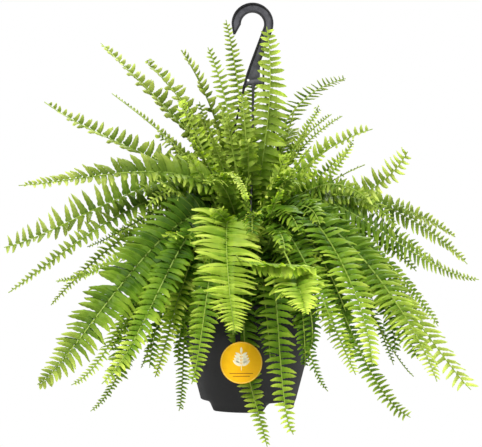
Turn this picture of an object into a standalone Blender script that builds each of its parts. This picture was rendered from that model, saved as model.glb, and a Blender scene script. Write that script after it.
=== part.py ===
"""A Boston fern in a plastic hanging basket.

The basket hangs from its swan-neck hook: the origin is the point inside the
top of the hook that bears on a ceiling hook. +Z is up, and -Y is the front.
Sizes are in metres. Nothing on it moves, so there are no joints.
"""

from math import acos, cos, pi, radians, sin, sqrt

import bmesh
import bpy
import numpy as np
from mathutils import Matrix, Vector

GAP = 0.0003

# The hanger: one moulded hook with a hub, and four legs that clip on the pot's rim.
HOOK_INNER_RADIUS = 0.0172
HOOK_BAND = 0.0140
HOOK_DEPTH = 0.0080
HOOK_FLANGE = 0.0022
HOOK_RECESS = 0.0024
NECK_SLANT = radians(20.6)
NECK_LENGTH = 0.0505
HUB_TOP = -0.0775
HUB_BOTTOM = -0.1110
HUB_LEFT = -0.0142
HUB_RIGHT = 0.0178
LEG_RADIUS = 0.0017

# The pot: a 200 mm basket, 158 mm tall, on a foot ring with four notches.
POT_X = -0.006
RIM_Z = -0.429
POT_HEIGHT = 0.158
FOOT_Z = RIM_Z - POT_HEIGHT
POT_WALL = 0.0016
RIM_RADIUS = 0.1015
LIP_RADIUS = 0.1030
LIP_HEIGHT = 0.0050
FLOOR_HEIGHT = 0.0145
POT_OUTSIDE = (
    (0.0680, 0.000),
    (0.0715, 0.014),
    (0.0780, 0.039),
    (0.0840, 0.062),
    (0.0930, 0.092),
    (0.0985, 0.113),
    (0.1000, 0.140),
    (RIM_RADIUS, POT_HEIGHT - LIP_HEIGHT),
)
ROUND_STEPS = 48
NOTCH_TURN = radians(-61)

# The soil comes to 15 mm below the rim, and the crown stands 24 mm proud of it.
SOIL_Z = RIM_Z - 0.015
CROWN_RADIUS = 0.045
CROWN_CENTRE = Vector((POT_X, 0.0, SOIL_Z - 0.021))
CROWN_BASE = -0.018

# The care tag: a round plate on a strap that hooks over the rim.
TAG_CENTRE = Vector((-0.0167, -0.1140, -0.5100))
TAG_RADIUS = 0.0298
TAG_THICKNESS = 0.0012
STRAP_X = -0.0215
STRAP_WIDTH = 0.0070
STRAP_THICKNESS = 0.0010

# A frond: a thin stipe, then a blade with a saw-tooth edge. Each solid is the firm
# middle of its leaf, about half as wide, so that no two crowded fronds overlap.
STIPE_HALF = 0.0014
BLADE_THICKNESS = 0.0011
BLADE_STARTS = 0.24
TEETH = 8
TOOTH_NOTCH = 0.62

# Each frond has its solid's half-width, and the points that it passes: it leaves
# the crown towards the first and ends at the last.
FRONDS = (
    ("frond_left_01", 0.026, (-0.072, -0.062, -0.300), (-0.145, -0.120, -0.345), (-0.290, -0.200, -0.530)),
    ("frond_left_02", 0.013, (-0.100, -0.016, -0.270), (-0.225, -0.030, -0.320), (-0.355, -0.050, -0.415)),
    ("frond_left_03", 0.014, (-0.095, 0.015, -0.250), (-0.240, 0.012, -0.295), (-0.370, 0.000, -0.350)),
    ("frond_left_04", 0.015, (-0.098, -0.052, -0.245), (-0.205, -0.060, -0.243), (-0.335, -0.080, -0.260)),
    ("frond_left_05", 0.012, (-0.088, 0.036, -0.256), (-0.185, 0.042, -0.200), (-0.315, 0.034, -0.130)),
    ("frond_left_06", 0.009, (-0.060, -0.022, -0.262), (-0.130, -0.032, -0.185), (-0.205, -0.045, -0.125)),
    ("frond_left_07", 0.012, (-0.055, 0.014, -0.235), (-0.140, 0.022, -0.130), (-0.230, 0.040, -0.040)),
    ("frond_left_08", 0.010, (-0.045, 0.038, -0.250), (-0.110, 0.055, -0.125), (-0.175, 0.070, -0.055)),
    ("frond_left_09", 0.010, (-0.035, -0.012, -0.235), (-0.065, -0.020, -0.135), (-0.105, -0.030, -0.060)),
    ("frond_left_10", 0.010, (-0.025, -0.040, -0.235), (-0.040, -0.050, -0.135), (-0.065, -0.060, -0.060)),
    ("frond_left_11", 0.010, (-0.010, 0.025, -0.250), (-0.020, 0.035, -0.120), (-0.040, 0.040, -0.005)),
    ("frond_left_12", 0.013, (-0.045, -0.100, -0.310), (-0.065, -0.145, -0.420), (-0.085, -0.155, -0.535)),
    ("frond_left_13", 0.011, (-0.080, -0.040, -0.315), (-0.095, -0.080, -0.410), (-0.105, -0.095, -0.580)),
    ("frond_left_14", 0.010, (-0.070, -0.078, -0.335), (-0.105, -0.130, -0.420), (-0.135, -0.160, -0.525)),
    ("frond_left_15", 0.012, (-0.076, -0.100, -0.318), (-0.145, -0.190, -0.440), (-0.200, -0.235, -0.525)),
    ("frond_left_16", 0.009, (-0.105, -0.045, -0.350), (-0.175, -0.080, -0.490), (-0.230, -0.100, -0.580)),
    ("frond_left_17", 0.009, (-0.115, 0.016, -0.330), (-0.195, 0.010, -0.460), (-0.270, 0.000, -0.555)),
    ("frond_left_18", 0.010, (-0.100, 0.050, -0.290), (-0.210, 0.060, -0.345), (-0.310, 0.070, -0.440)),
    ("frond_right_01", 0.013, (0.010, -0.030, -0.250), (0.025, -0.050, -0.120), (0.020, -0.060, -0.030)),
    ("frond_right_02", 0.010, (0.015, 0.020, -0.255), (0.065, 0.050, -0.140), (0.145, 0.080, -0.090)),
    ("frond_right_03", 0.008, (0.025, -0.018, -0.280), (0.075, -0.028, -0.190), (0.115, -0.040, -0.155)),
    ("frond_right_04", 0.011, (0.040, -0.045, -0.275), (0.105, -0.070, -0.210), (0.170, -0.090, -0.180)),
    ("frond_right_05", 0.010, (0.080, -0.015, -0.315), (0.180, -0.035, -0.260), (0.225, -0.050, -0.210)),
    ("frond_right_06", 0.010, (0.088, 0.032, -0.280), (0.210, 0.045, -0.285), (0.310, 0.050, -0.335)),
    ("frond_right_07", 0.010, (0.085, 0.014, -0.272), (0.240, 0.012, -0.310), (0.320, 0.000, -0.375)),
    ("frond_right_08", 0.014, (0.095, -0.042, -0.280), (0.230, -0.060, -0.355), (0.325, -0.070, -0.395)),
    ("frond_right_09", 0.013, (0.074, -0.050, -0.300), (0.225, -0.100, -0.415), (0.305, -0.130, -0.545)),
    ("frond_right_10", 0.015, (0.065, -0.070, -0.300), (0.195, -0.140, -0.420), (0.250, -0.170, -0.530)),
    ("frond_right_11", 0.010, (0.066, -0.052, -0.340), (0.130, -0.130, -0.470), (0.215, -0.160, -0.580)),
    ("frond_right_12", 0.009, (0.085, 0.016, -0.335), (0.180, 0.012, -0.450), (0.210, 0.000, -0.525)),
    ("frond_right_13", 0.012, (0.033, -0.108, -0.312), (0.105, -0.190, -0.445), (0.135, -0.220, -0.515)),
    ("frond_right_14", 0.022, (0.055, -0.100, -0.290), (0.130, -0.210, -0.395), (0.155, -0.240, -0.500)),
    ("frond_right_15", 0.010, (0.040, -0.078, -0.365), (0.070, -0.105, -0.460), (0.105, -0.115, -0.550)),
    ("frond_right_16", 0.015, (0.024, -0.090, -0.368), (0.035, -0.138, -0.470), (0.055, -0.150, -0.605)),
    ("frond_front_01", 0.006, (-0.014, -0.086, -0.370), (-0.014, -0.109, -0.440), (-0.008, -0.104, -0.520),
     (0.020, -0.104, -0.630)),
    ("frond_front_02", 0.025, (-0.036, -0.118, -0.298), (-0.035, -0.200, -0.375), (-0.025, -0.230, -0.455)),
    ("frond_front_03", 0.018, (0.020, -0.112, -0.330), (0.050, -0.220, -0.365), (0.070, -0.300, -0.425)),
    ("frond_front_04", 0.009, (-0.021, -0.036, -0.335), (-0.036, -0.095, -0.255), (-0.020, -0.150, -0.250),
     (0.000, -0.200, -0.305)),
    ("frond_back_01", 0.014, (-0.022, 0.068, -0.240), (-0.038, 0.135, -0.165), (-0.045, 0.190, -0.130)),
    ("frond_back_02", 0.016, (0.030, 0.055, -0.250), (0.055, 0.130, -0.180), (0.070, 0.200, -0.160)),
    ("frond_back_03", 0.018, (-0.055, 0.095, -0.255), (-0.110, 0.190, -0.230), (-0.140, 0.280, -0.270)),
    ("frond_back_04", 0.015, (0.060, 0.090, -0.265), (0.100, 0.190, -0.250), (0.130, 0.290, -0.300)),
    ("frond_back_05", 0.014, (0.016, 0.095, -0.265), (0.018, 0.210, -0.240), (0.015, 0.310, -0.300)),
    ("frond_back_06", 0.020, (-0.015, 0.110, -0.310), (-0.020, 0.210, -0.380), (-0.020, 0.240, -0.520)),
    ("frond_back_07", 0.018, (-0.060, 0.100, -0.310), (-0.110, 0.190, -0.380), (-0.140, 0.220, -0.480)),
    ("frond_back_08", 0.018, (0.045, 0.100, -0.315), (0.100, 0.190, -0.380), (0.130, 0.220, -0.500)),
    ("frond_back_09", 0.017, (-0.095, 0.075, -0.310), (-0.170, 0.140, -0.340), (-0.220, 0.190, -0.430)),
    ("frond_back_10", 0.017, (0.085, 0.065, -0.300), (0.170, 0.130, -0.350), (0.230, 0.170, -0.450)),
)

FROND_GREENS = (
    (0.060, 0.160, 0.020),
    (0.110, 0.260, 0.030),
    (0.180, 0.340, 0.045),
)


def make_material(name, colour, roughness):
    """A plain finish for one object."""
    material = bpy.data.materials.new(name)
    material.use_nodes = True
    shader = material.node_tree.nodes["Principled BSDF"]
    shader.inputs["Base Color"].default_value = (*colour, 1.0)
    shader.inputs["Roughness"].default_value = roughness
    shader.inputs["Metallic"].default_value = 0.0
    material.diffuse_color = (*colour, 1.0)
    return material


def add_object(name, bm, colour, roughness, place=(0.0, 0.0, 0.0), smooth_angle=None):
    """Puts a bmesh in the scene as one named object with its own material."""
    bmesh.ops.recalc_face_normals(bm, faces=bm.faces)
    mesh = bpy.data.meshes.new(name)
    bm.to_mesh(mesh)
    bm.free()
    if smooth_angle is not None:
        mesh.shade_smooth()
        mesh.set_sharp_from_angle(angle=smooth_angle)
    obj = bpy.data.objects.new(name, mesh)
    obj.location = place
    mesh.materials.append(make_material(name, colour, roughness))
    bpy.context.scene.collection.objects.link(obj)
    return obj


def boolean(obj, other, operation):
    """Adds an exact Boolean with a helper object, which is hidden."""
    other.hide_render = True
    other.display_type = "WIRE"
    modifier = obj.modifiers.new(operation.lower(), "BOOLEAN")
    modifier.operation = operation
    modifier.solver = "EXACT"
    modifier.object = other


def turned(profile):
    """Turns a profile of (radius, height) points, axis to axis, once round +Z."""
    bm = bmesh.new()
    points = [bm.verts.new((radius, 0.0, height)) for radius, height in profile]
    edges = [bm.edges.new(pair) for pair in zip(points, points[1:])]
    bmesh.ops.spin(
        bm,
        geom=points + edges,
        cent=(0.0, 0.0, 0.0),
        axis=(0.0, 0.0, 1.0),
        angle=2 * pi,
        steps=ROUND_STEPS,
        use_merge=True,
    )
    bmesh.ops.remove_doubles(bm, verts=bm.verts, dist=1e-6)
    return bm


def smooth_path(points, count):
    """Points at even parameters on the one smooth polynomial through the given points."""
    points = np.array([tuple(point) for point in points])
    steps = np.linalg.norm(np.diff(points, axis=0), axis=1)
    knots = np.concatenate([[0.0], np.cumsum(steps)]) / steps.sum()
    curves = np.polyfit(knots, points, len(points) - 1)
    where = np.linspace(0.0, 1.0, count)
    return [Vector([np.polyval(curves[:, axis], at) for axis in range(3)]) for at in where]


def make_hook():
    """The swan-neck hook: a flanged band round the loop, down the neck and out to the hub."""
    centre = Vector((0.0, 0.0, -HOOK_INNER_RADIUS))
    outer_radius = HOOK_INNER_RADIUS + HOOK_BAND
    bm = bmesh.new()
    end_direction = Vector((cos(NECK_SLANT), 0.0, -sin(NECK_SLANT)))
    inner = bm.verts.new(centre + end_direction * HOOK_INNER_RADIUS)
    outer = bm.verts.new(centre + end_direction * outer_radius)
    start = bm.edges.new((inner, outer))
    loop = bmesh.ops.spin(
        bm,
        geom=[inner, outer, start],
        cent=centre,
        axis=(0.0, -1.0, 0.0),
        angle=pi + NECK_SLANT,
        steps=30,
    )
    far_edge = [item for item in loop["geom_last"] if isinstance(item, bmesh.types.BMEdge)]
    tip = bmesh.ops.extrude_edge_only(bm, edges=far_edge)
    tip_points = [item for item in tip["geom"] if isinstance(item, bmesh.types.BMVert)]
    tip_face = [item for item in tip["geom"] if isinstance(item, bmesh.types.BMFace)]
    tip_points.sort(key=lambda point: point.co.x)
    tip_points[0].co = Vector((-0.0288, 0.0, -0.0325))
    tip_points[1].co = Vector((-0.0256, 0.0, -0.0325))

    neck = bmesh.ops.extrude_edge_only(bm, edges=[start])
    neck_points = [item for item in neck["geom"] if isinstance(item, bmesh.types.BMVert)]
    bmesh.ops.translate(
        bm,
        verts=neck_points,
        vec=NECK_LENGTH * Vector((-sin(NECK_SLANT), 0.0, -cos(NECK_SLANT))),
    )
    neck_points.sort(key=lambda point: point.co.x)
    outline = (
        (HUB_RIGHT - 0.002, HUB_TOP),
        (HUB_RIGHT, HUB_TOP - 0.002),
        (HUB_RIGHT, HUB_BOTTOM),
        (HUB_RIGHT - 0.0045, HUB_BOTTOM),
        (HUB_RIGHT - 0.0070, HUB_BOTTOM + 0.0025),
        (HUB_LEFT + 0.0075, HUB_BOTTOM + 0.0025),
        (HUB_LEFT + 0.0050, HUB_BOTTOM),
        (HUB_LEFT, HUB_BOTTOM),
        (HUB_LEFT + 0.0050, HUB_BOTTOM + 0.0190),
    )
    hub_points = [bm.verts.new((x, 0.0, z)) for x, z in outline]
    bm.faces.new([neck_points[0], neck_points[1], *hub_points])

    front = list(bm.faces)
    bmesh.ops.recalc_face_normals(bm, faces=front)
    back = bmesh.ops.extrude_face_region(bm, geom=front, use_keep_orig=True)
    back_points = [item for item in back["geom"] if isinstance(item, bmesh.types.BMVert)]
    back_faces = [item for item in back["geom"] if isinstance(item, bmesh.types.BMFace)]
    bmesh.ops.translate(bm, verts=back_points, vec=(0.0, HOOK_DEPTH, 0.0))
    bmesh.ops.translate(bm, verts=bm.verts, vec=(0.0, -HOOK_DEPTH / 2, 0.0))
    bmesh.ops.recalc_face_normals(bm, faces=bm.faces)
    for side in (front, back_faces):
        bmesh.ops.inset_region(
            bm,
            faces=[face for face in side if face not in tip_face],
            thickness=HOOK_FLANGE,
            depth=-HOOK_RECESS,
            use_even_offset=True,
        )
    hook = add_object("hanger_hook", bm, (0.020, 0.020, 0.023), 0.45, smooth_angle=radians(35))

    cutter = bmesh.new()
    bmesh.ops.create_cone(
        cutter,
        cap_ends=True,
        segments=16,
        radius1=0.00185,
        radius2=0.00185,
        depth=3 * HOOK_DEPTH,
        matrix=Matrix.Translation((-0.0064, 0.0, -0.1010)) @ Matrix.Rotation(pi / 2, 4, "X"),
    )
    bmesh.ops.create_cube(
        cutter,
        size=1.0,
        matrix=Matrix.Translation((0.0130, 0.0, -0.0900)) @ Matrix.Diagonal((0.0036, 3 * HOOK_DEPTH, 0.0190, 1.0)),
    )
    boolean(hook, add_object("hook_cutter", cutter, (0.5, 0.5, 0.5), 0.5), "DIFFERENCE")


def make_leg(name, angle, top, knee):
    """A leg: a moulded cord from the hub to an inverted-U clip that sits on the rim."""
    outward = Vector((cos(angle), sin(angle), 0.0))
    slot_inside = RIM_RADIUS - POT_WALL - 0.0007
    slot_outside = LIP_RADIUS + 0.0004
    prong = 0.0020
    clip_width = 0.0080
    clip_top = RIM_Z + 0.0034
    clip_bottom = RIM_Z - 0.0090
    rim_place = Vector((POT_X, 0.0, 0.0))
    middle = rim_place + outward * (slot_inside + slot_outside) / 2
    turn = Matrix.Rotation(angle, 4, "Z")

    clip = bmesh.new()
    size = (slot_outside - slot_inside + 2 * prong, clip_width, clip_top - clip_bottom, 1.0)
    place = Matrix.Translation(middle + Vector((0.0, 0.0, (clip_top + clip_bottom) / 2)))
    bmesh.ops.create_cube(clip, size=1.0, matrix=place @ turn @ Matrix.Diagonal(size))
    leg = add_object(name, clip, (0.018, 0.018, 0.020), 0.5)

    slot = bmesh.new()
    slot_top = RIM_Z + GAP
    slot_bottom = clip_bottom - 0.002
    size = (slot_outside - slot_inside, 2 * clip_width, slot_top - slot_bottom, 1.0)
    place = Matrix.Translation(middle + Vector((0.0, 0.0, (slot_top + slot_bottom) / 2)))
    bmesh.ops.create_cube(slot, size=1.0, matrix=place @ turn @ Matrix.Diagonal(size))
    boolean(leg, add_object(name + "_slot", slot, (0.5, 0.5, 0.5), 0.5), "DIFFERENCE")

    foot = middle + Vector((0.0, 0.0, clip_top - 0.0012))
    curve = bpy.data.curves.new(name + "_cord", "CURVE")
    curve.dimensions = "3D"
    curve.bevel_depth = LEG_RADIUS
    curve.bevel_resolution = 1
    curve.use_fill_caps = True
    route = smooth_path([top, knee, foot], 12)
    spline = curve.splines.new("POLY")
    spline.points.add(len(route) - 1)
    for point, position in zip(spline.points, route):
        point.co = (*position, 1.0)
    holder = bpy.data.objects.new(name + "_cord_guide", curve)
    bpy.context.scene.collection.objects.link(holder)
    bpy.context.view_layer.update()
    tube = bmesh.new()
    tube.from_mesh(bpy.data.meshes.new_from_object(holder))
    bpy.data.objects.remove(holder)
    bmesh.ops.remove_doubles(tube, verts=tube.verts, dist=1e-6)
    boolean(leg, add_object(name + "_cord", tube, (0.5, 0.5, 0.5), 0.5), "UNION")


def pot_inside():
    """The inner wall's (radius, height) points, from the rim down to the floor."""
    heights = [height for _, height in POT_OUTSIDE if height > FLOOR_HEIGHT + POT_WALL]
    radii = [radius - POT_WALL for radius, height in POT_OUTSIDE if height > FLOOR_HEIGHT + POT_WALL]
    wall = list(zip(radii, heights))[::-1]
    return wall + [(0.0715 - POT_WALL, FLOOR_HEIGHT + POT_WALL)]


def make_pot():
    """The basket: a turned shell with a lip, a raised floor and a notched foot ring."""
    profile = [
        (0.0, FLOOR_HEIGHT),
        (0.0692, FLOOR_HEIGHT),
        (0.0660, 0.0),
        *POT_OUTSIDE,
        (LIP_RADIUS, POT_HEIGHT - LIP_HEIGHT),
        (LIP_RADIUS, POT_HEIGHT),
        (RIM_RADIUS - POT_WALL, POT_HEIGHT),
        *pot_inside(),
        (0.0, FLOOR_HEIGHT + POT_WALL),
    ]
    place = (POT_X, 0.0, FOOT_Z)
    pot = add_object("pot", turned(profile), (0.016, 0.016, 0.018), 0.55, place, radians(35))

    cutter = bmesh.new()
    for turn in range(4):
        spin = Matrix.Rotation(NOTCH_TURN + radians(90 * turn), 4, "Z")
        made = bmesh.ops.create_cube(cutter, size=1.0, matrix=Matrix.Diagonal((0.030, 1.0, 0.0270, 1.0)))
        for point in made["verts"]:
            point.co.y = (0.0175 if point.co.z < 0 else 0.0085) * (1 if point.co.y > 0 else -1)
        bmesh.ops.transform(cutter, verts=made["verts"], matrix=spin @ Matrix.Translation((0.070, 0.0, 0.0)))
    for turn in range(8):
        spin = Matrix.Rotation(radians(45 * turn), 4, "Z")
        bmesh.ops.create_cone(
            cutter,
            cap_ends=True,
            segments=12,
            radius1=0.0045,
            radius2=0.0045,
            depth=0.010,
            matrix=spin @ Matrix.Translation((0.045, 0.0, FLOOR_HEIGHT)),
        )
    boolean(pot, add_object("pot_cutter", cutter, (0.5, 0.5, 0.5), 0.5, place), "DIFFERENCE")


def make_soil():
    """The potting mix: it fills the pot and holds a hollow that the crown sits in."""
    low = FOOT_Z
    hollow_radius = CROWN_RADIUS + 0.0005
    hollow_top = SOIL_Z - CROWN_CENTRE.z
    hollow_base = CROWN_BASE - GAP
    rise = CROWN_CENTRE.z - low
    arc = []
    start = acos(hollow_top / hollow_radius)
    end = acos(hollow_base / hollow_radius)
    for step in range(6):
        tilt = start + (end - start) * step / 5
        arc.append((hollow_radius * sin(tilt), rise + hollow_radius * cos(tilt)))
    wall = [(radius - GAP, height) for radius, height in pot_inside() if height < SOIL_Z - low - 0.001]
    wall[-1] = (wall[-1][0], wall[-1][1] + GAP)
    profile = [
        (0.0, FLOOR_HEIGHT + POT_WALL + GAP),
        *wall[::-1],
        (0.0982, SOIL_Z - low - 0.002),
        *arc,
        (0.0, rise + hollow_base),
    ]
    add_object("potting_mix", turned(profile), (0.030, 0.020, 0.012), 0.95, (POT_X, 0.0, low), radians(40))


def make_crown():
    """The crown: the dome of matted rhizome that every frond grows from."""
    base_tilt = acos(CROWN_BASE / CROWN_RADIUS)
    profile = [(0.0, CROWN_RADIUS)]
    for step in range(1, 10):
        tilt = base_tilt * step / 9
        profile.append((CROWN_RADIUS * sin(tilt), CROWN_RADIUS * cos(tilt)))
    profile.append((0.0, CROWN_BASE))
    add_object("crown", turned(profile), (0.060, 0.050, 0.020), 0.9, CROWN_CENTRE, radians(60))


def make_tag():
    """The round care tag, whose strap runs up the pot and hooks over its rim."""
    plate = bmesh.new()
    bmesh.ops.create_cone(
        plate,
        cap_ends=True,
        segments=ROUND_STEPS,
        radius1=TAG_RADIUS,
        radius2=TAG_RADIUS,
        depth=TAG_THICKNESS,
        matrix=Matrix.Translation(TAG_CENTRE) @ Matrix.Rotation(pi / 2, 4, "X"),
    )
    tag = add_object("care_tag", plate, (0.95, 0.45, 0.02), 0.4)

    route = (
        (-0.1135, -0.5000),
        (-0.1135, -0.4850),
        (-0.1110, -0.4650),
        (-0.1066, -0.4470),
        (-0.1037, -0.4340),
        (-0.1034, -0.4295),
        (-0.1022, -0.4272),
        (-0.1003, -0.4264),
        (-0.0980, -0.4272),
        (-0.0968, -0.4300),
        (-0.0956, -0.4435),
    )
    strap = bmesh.new()
    rings = []
    for index, (y, z) in enumerate(route):
        before = Vector(route[max(index - 1, 0)])
        after = Vector(route[min(index + 1, len(route) - 1)])
        along = (after - before).normalized()
        out = Vector((-along.y, along.x)) * STRAP_THICKNESS / 2
        corners = []
        for side, face in ((-1, -1), (1, -1), (1, 1), (-1, 1)):
            x = STRAP_X + side * STRAP_WIDTH / 2
            corners.append(strap.verts.new((x, y + face * out.x, z + face * out.y)))
        rings.append(corners)
    close_loft(strap, rings)
    boolean(tag, add_object("tag_strap", strap, (0.5, 0.5, 0.5), 0.5), "UNION")


def close_loft(bm, rings, tip=None):
    """Joins four-cornered rings into one closed body, with a flat or a pointed end."""
    for near, far in zip(rings, rings[1:]):
        for corner in range(4):
            after = (corner + 1) % 4
            bm.faces.new((near[corner], near[after], far[after], far[corner]))
    bm.faces.new(rings[0][::-1])
    if tip is None:
        bm.faces.new(rings[-1])
    else:
        for corner in range(4):
            bm.faces.new((rings[-1][corner], rings[-1][(corner + 1) % 4], tip))


def make_frond(name, half_width, points, colour):
    """One frond: the stipe's square-set rings, then the blade's wide and narrow rings."""
    radial = (Vector(points[0]) - CROWN_CENTRE).normalized()
    start = CROWN_CENTRE + radial * (CROWN_RADIUS + GAP + 0.0001)
    outward = Vector((points[-1][0] - start.x, points[-1][1] - start.y, 0.0)).normalized()
    across = outward.cross(Vector((0.0, 0.0, 1.0)))
    stipe_stops = [0.0, BLADE_STARTS / 2, BLADE_STARTS]
    blade_stops = [BLADE_STARTS + (1 - BLADE_STARTS) * (step + 0.6) / (2 * TEETH) for step in range(2 * TEETH)]
    stops = stipe_stops + blade_stops
    fine = smooth_path([start, *points], 201)
    bm = bmesh.new()
    rings = []
    for index, stop in enumerate(stops):
        here = fine[round(200 * stop)]
        ahead = fine[min(round(200 * stop) + 1, 200)]
        behind = fine[max(round(200 * stop) - 1, 0)]
        along = radial if index == 0 else (ahead - behind).normalized()
        side = (across - along * across.dot(along)).normalized()
        up = side.cross(along)
        half = STIPE_HALF
        thick = STIPE_HALF
        if index >= len(stipe_stops):
            share = (stop - BLADE_STARTS) / (1 - BLADE_STARTS)
            fullness = min(1.0, 0.45 + 2.2 * share) * sqrt(max(1 - share, 0.0))
            notch = 1.0 if (index - len(stipe_stops)) % 2 == 0 else TOOTH_NOTCH
            half = STIPE_HALF + half_width * fullness * notch
            thick = BLADE_THICKNESS * (1 - 0.6 * share)
        corners = (here + side * half, here + up * thick, here - side * half, here - up * thick)
        rings.append([bm.verts.new(corner) for corner in corners])
    close_loft(bm, rings, bm.verts.new(fine[200]))
    add_object(name, bm, colour, 0.6)


for leftover in list(bpy.data.objects):
    bpy.data.objects.remove(leftover, do_unlink=True)

make_hook()
make_leg("hanger_leg_left", pi, Vector((-0.0117, 0.0, HUB_BOTTOM - 2 * GAP)), Vector((-0.0260, 0.0, -0.170)))
make_leg("hanger_leg_right", 0.0, Vector((0.0155, 0.0, HUB_BOTTOM - 2 * GAP)), Vector((0.0300, 0.0, -0.170)))
make_leg("hanger_leg_front", -pi / 2, Vector((0.0012, -0.0022, HUB_BOTTOM + 0.0016)), Vector((0.0, -0.018, -0.170)))
make_leg("hanger_leg_back", pi / 2, Vector((0.0012, 0.0022, HUB_BOTTOM + 0.0016)), Vector((0.0, 0.018, -0.170)))
make_pot()
make_soil()
make_crown()
make_tag()
for order, (frond_name, frond_half_width, *frond_points) in enumerate(FRONDS):
    make_frond(frond_name, frond_half_width, frond_points, FROND_GREENS[order % len(FROND_GREENS)])
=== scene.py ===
"""A Boston fern in a black plastic hanging basket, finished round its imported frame.

Everything is in metres, with +Z up and the front towards -Y. The basket hangs from
its hook, so nothing moves and every piece rides on the one body.
"""

import random
from math import acos, cos, degrees, pi, radians, sin

import bmesh
import bpy
import numpy as np
from mathutils import Matrix, Vector


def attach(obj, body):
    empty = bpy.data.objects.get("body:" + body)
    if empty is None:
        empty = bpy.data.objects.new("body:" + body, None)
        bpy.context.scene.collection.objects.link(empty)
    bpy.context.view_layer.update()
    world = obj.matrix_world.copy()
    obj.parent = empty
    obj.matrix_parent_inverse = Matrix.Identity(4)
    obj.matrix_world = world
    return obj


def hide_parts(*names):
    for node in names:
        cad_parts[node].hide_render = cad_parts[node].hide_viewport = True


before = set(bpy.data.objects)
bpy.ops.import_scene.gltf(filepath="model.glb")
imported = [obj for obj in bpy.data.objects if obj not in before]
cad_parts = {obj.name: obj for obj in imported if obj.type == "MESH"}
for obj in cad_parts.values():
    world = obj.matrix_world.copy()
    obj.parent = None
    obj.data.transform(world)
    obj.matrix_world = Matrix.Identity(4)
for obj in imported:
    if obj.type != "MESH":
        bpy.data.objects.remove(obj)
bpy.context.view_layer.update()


# ---------------------------------------------------------------------------
# The camera: level, in front of the plant, with a long lens as a shop picture has.
camera_data = bpy.data.cameras.new("camera")
camera_data.sensor_width = 36.0
camera_data.lens = 100.3
camera = bpy.data.objects.new("camera", camera_data)
camera.location = (-0.0171, -2.0, -0.3144)
camera.rotation_euler = (pi / 2, 0.0, 0.0)
bpy.context.scene.collection.objects.link(camera)
bpy.context.scene.camera = camera


# ---------------------------------------------------------------------------
# The hook: one moulding of black polypropylene. A flanged band runs round the loop
# and down the slanting neck, and ends in a hub with a peg hole and a slot.
INNER_RADIUS = 0.0172
BAND = 0.0140
HOOK_DEPTH = 0.0080
FLANGE = 0.0021
RECESS_SLOPE = 0.0007
RECESS = 0.0024
TIP = ((-0.0288, 0.0, -0.0325), (-0.0256, 0.0, -0.0325))
NECK_SLANT = radians(20.6)
NECK_LENGTH = 0.0505
HUB_TOP = -0.0775
HUB_BOTTOM = -0.1110
HUB_LEFT = -0.0142
HUB_RIGHT = 0.0178
PEG_HOLE = (-0.0064, 0.0, -0.1010)
PEG_RADIUS = 0.00185
HUB_SLOT = (0.0130, 0.0, -0.0900)
SLOT_WIDTH = 0.0036
SLOT_HEIGHT = 0.0190
SLOT_CORNER = 0.0014


def add_piece(name, bm, materials, smooth_angle=radians(35)):
    """Makes a bmesh one finished piece of the object, at the origin, riding on the body."""
    mesh = bpy.data.meshes.new(name)
    bm.to_mesh(mesh)
    bm.free()
    mesh.shade_smooth()
    mesh.set_sharp_from_angle(angle=smooth_angle)
    for material in materials:
        mesh.materials.append(material)
    obj = bpy.data.objects.new(name, mesh)
    bpy.context.scene.collection.objects.link(obj)
    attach(obj, "root")
    return obj


def draw_out(bm, faces, way):
    """Extrudes faces and moves the copy: gives the copy's points and its faces."""
    grown = bmesh.ops.extrude_face_region(bm, geom=faces, use_keep_orig=True)["geom"]
    points = [item for item in grown if isinstance(item, bmesh.types.BMVert)]
    bmesh.ops.translate(bm, verts=points, vec=way)
    return points, [item for item in grown if isinstance(item, bmesh.types.BMFace)]


def draw_edges(bm, edges):
    """Extrudes edges in place: gives the new points, in the order of their X."""
    grown = bmesh.ops.extrude_edge_only(bm, edges=edges)["geom"]
    return sorted((item for item in grown if isinstance(item, bmesh.types.BMVert)), key=lambda v: v.co.x)


def join(tree, value, socket):
    """Links a node's output to a socket, or sets the socket to a constant."""
    if isinstance(value, bpy.types.NodeSocket):
        tree.links.new(value, socket)
    else:
        socket.default_value = value


def add_node(tree, kind, settings=None, **inputs):
    """Adds a node, sets its properties, and joins the inputs: i0 is its first, and so on."""
    node = tree.nodes.new(kind)
    for key, value in (settings or {}).items():
        setattr(node, key, value)
    for key, value in inputs.items():
        join(tree, value, node.inputs[int(key[1:]) if key[1:].isdigit() else key])
    return node


def calculate(tree, operation, *values):
    """The result of one sum."""
    inputs = {f"i{index}": value for index, value in enumerate(values)}
    return add_node(tree, "ShaderNodeMath", {"operation": operation}, **inputs).outputs[0]


def rescale(tree, value, low, high, to_low=0.0, to_high=1.0):
    """A value, with its range of low to high moved to a new range and held there."""
    return add_node(tree, "ShaderNodeMapRange", i0=value, i1=low, i2=high, i3=to_low, i4=to_high).outputs[0]


def mix_colours(tree, share, first, second, blend="MIX"):
    """The second colour laid over the first, by a share."""
    settings = {"data_type": "RGBA", "blend_type": blend}
    return add_node(tree, "ShaderNodeMix", settings, i0=share, i6=first, i7=second).outputs[2]


def object_place(tree):
    """The point's place in its object, which the textures read."""
    return add_node(tree, "ShaderNodeTexCoord").outputs["Object"]


def make_noise(tree, place, scale, detail, roughness=0.5):
    """Noise from 0 to 1, soft unless its detail is high."""
    inputs = {"Vector": place, "Scale": scale, "Detail": detail, "Roughness": roughness}
    return add_node(tree, "ShaderNodeTexNoise", **inputs).outputs[0]


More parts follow.
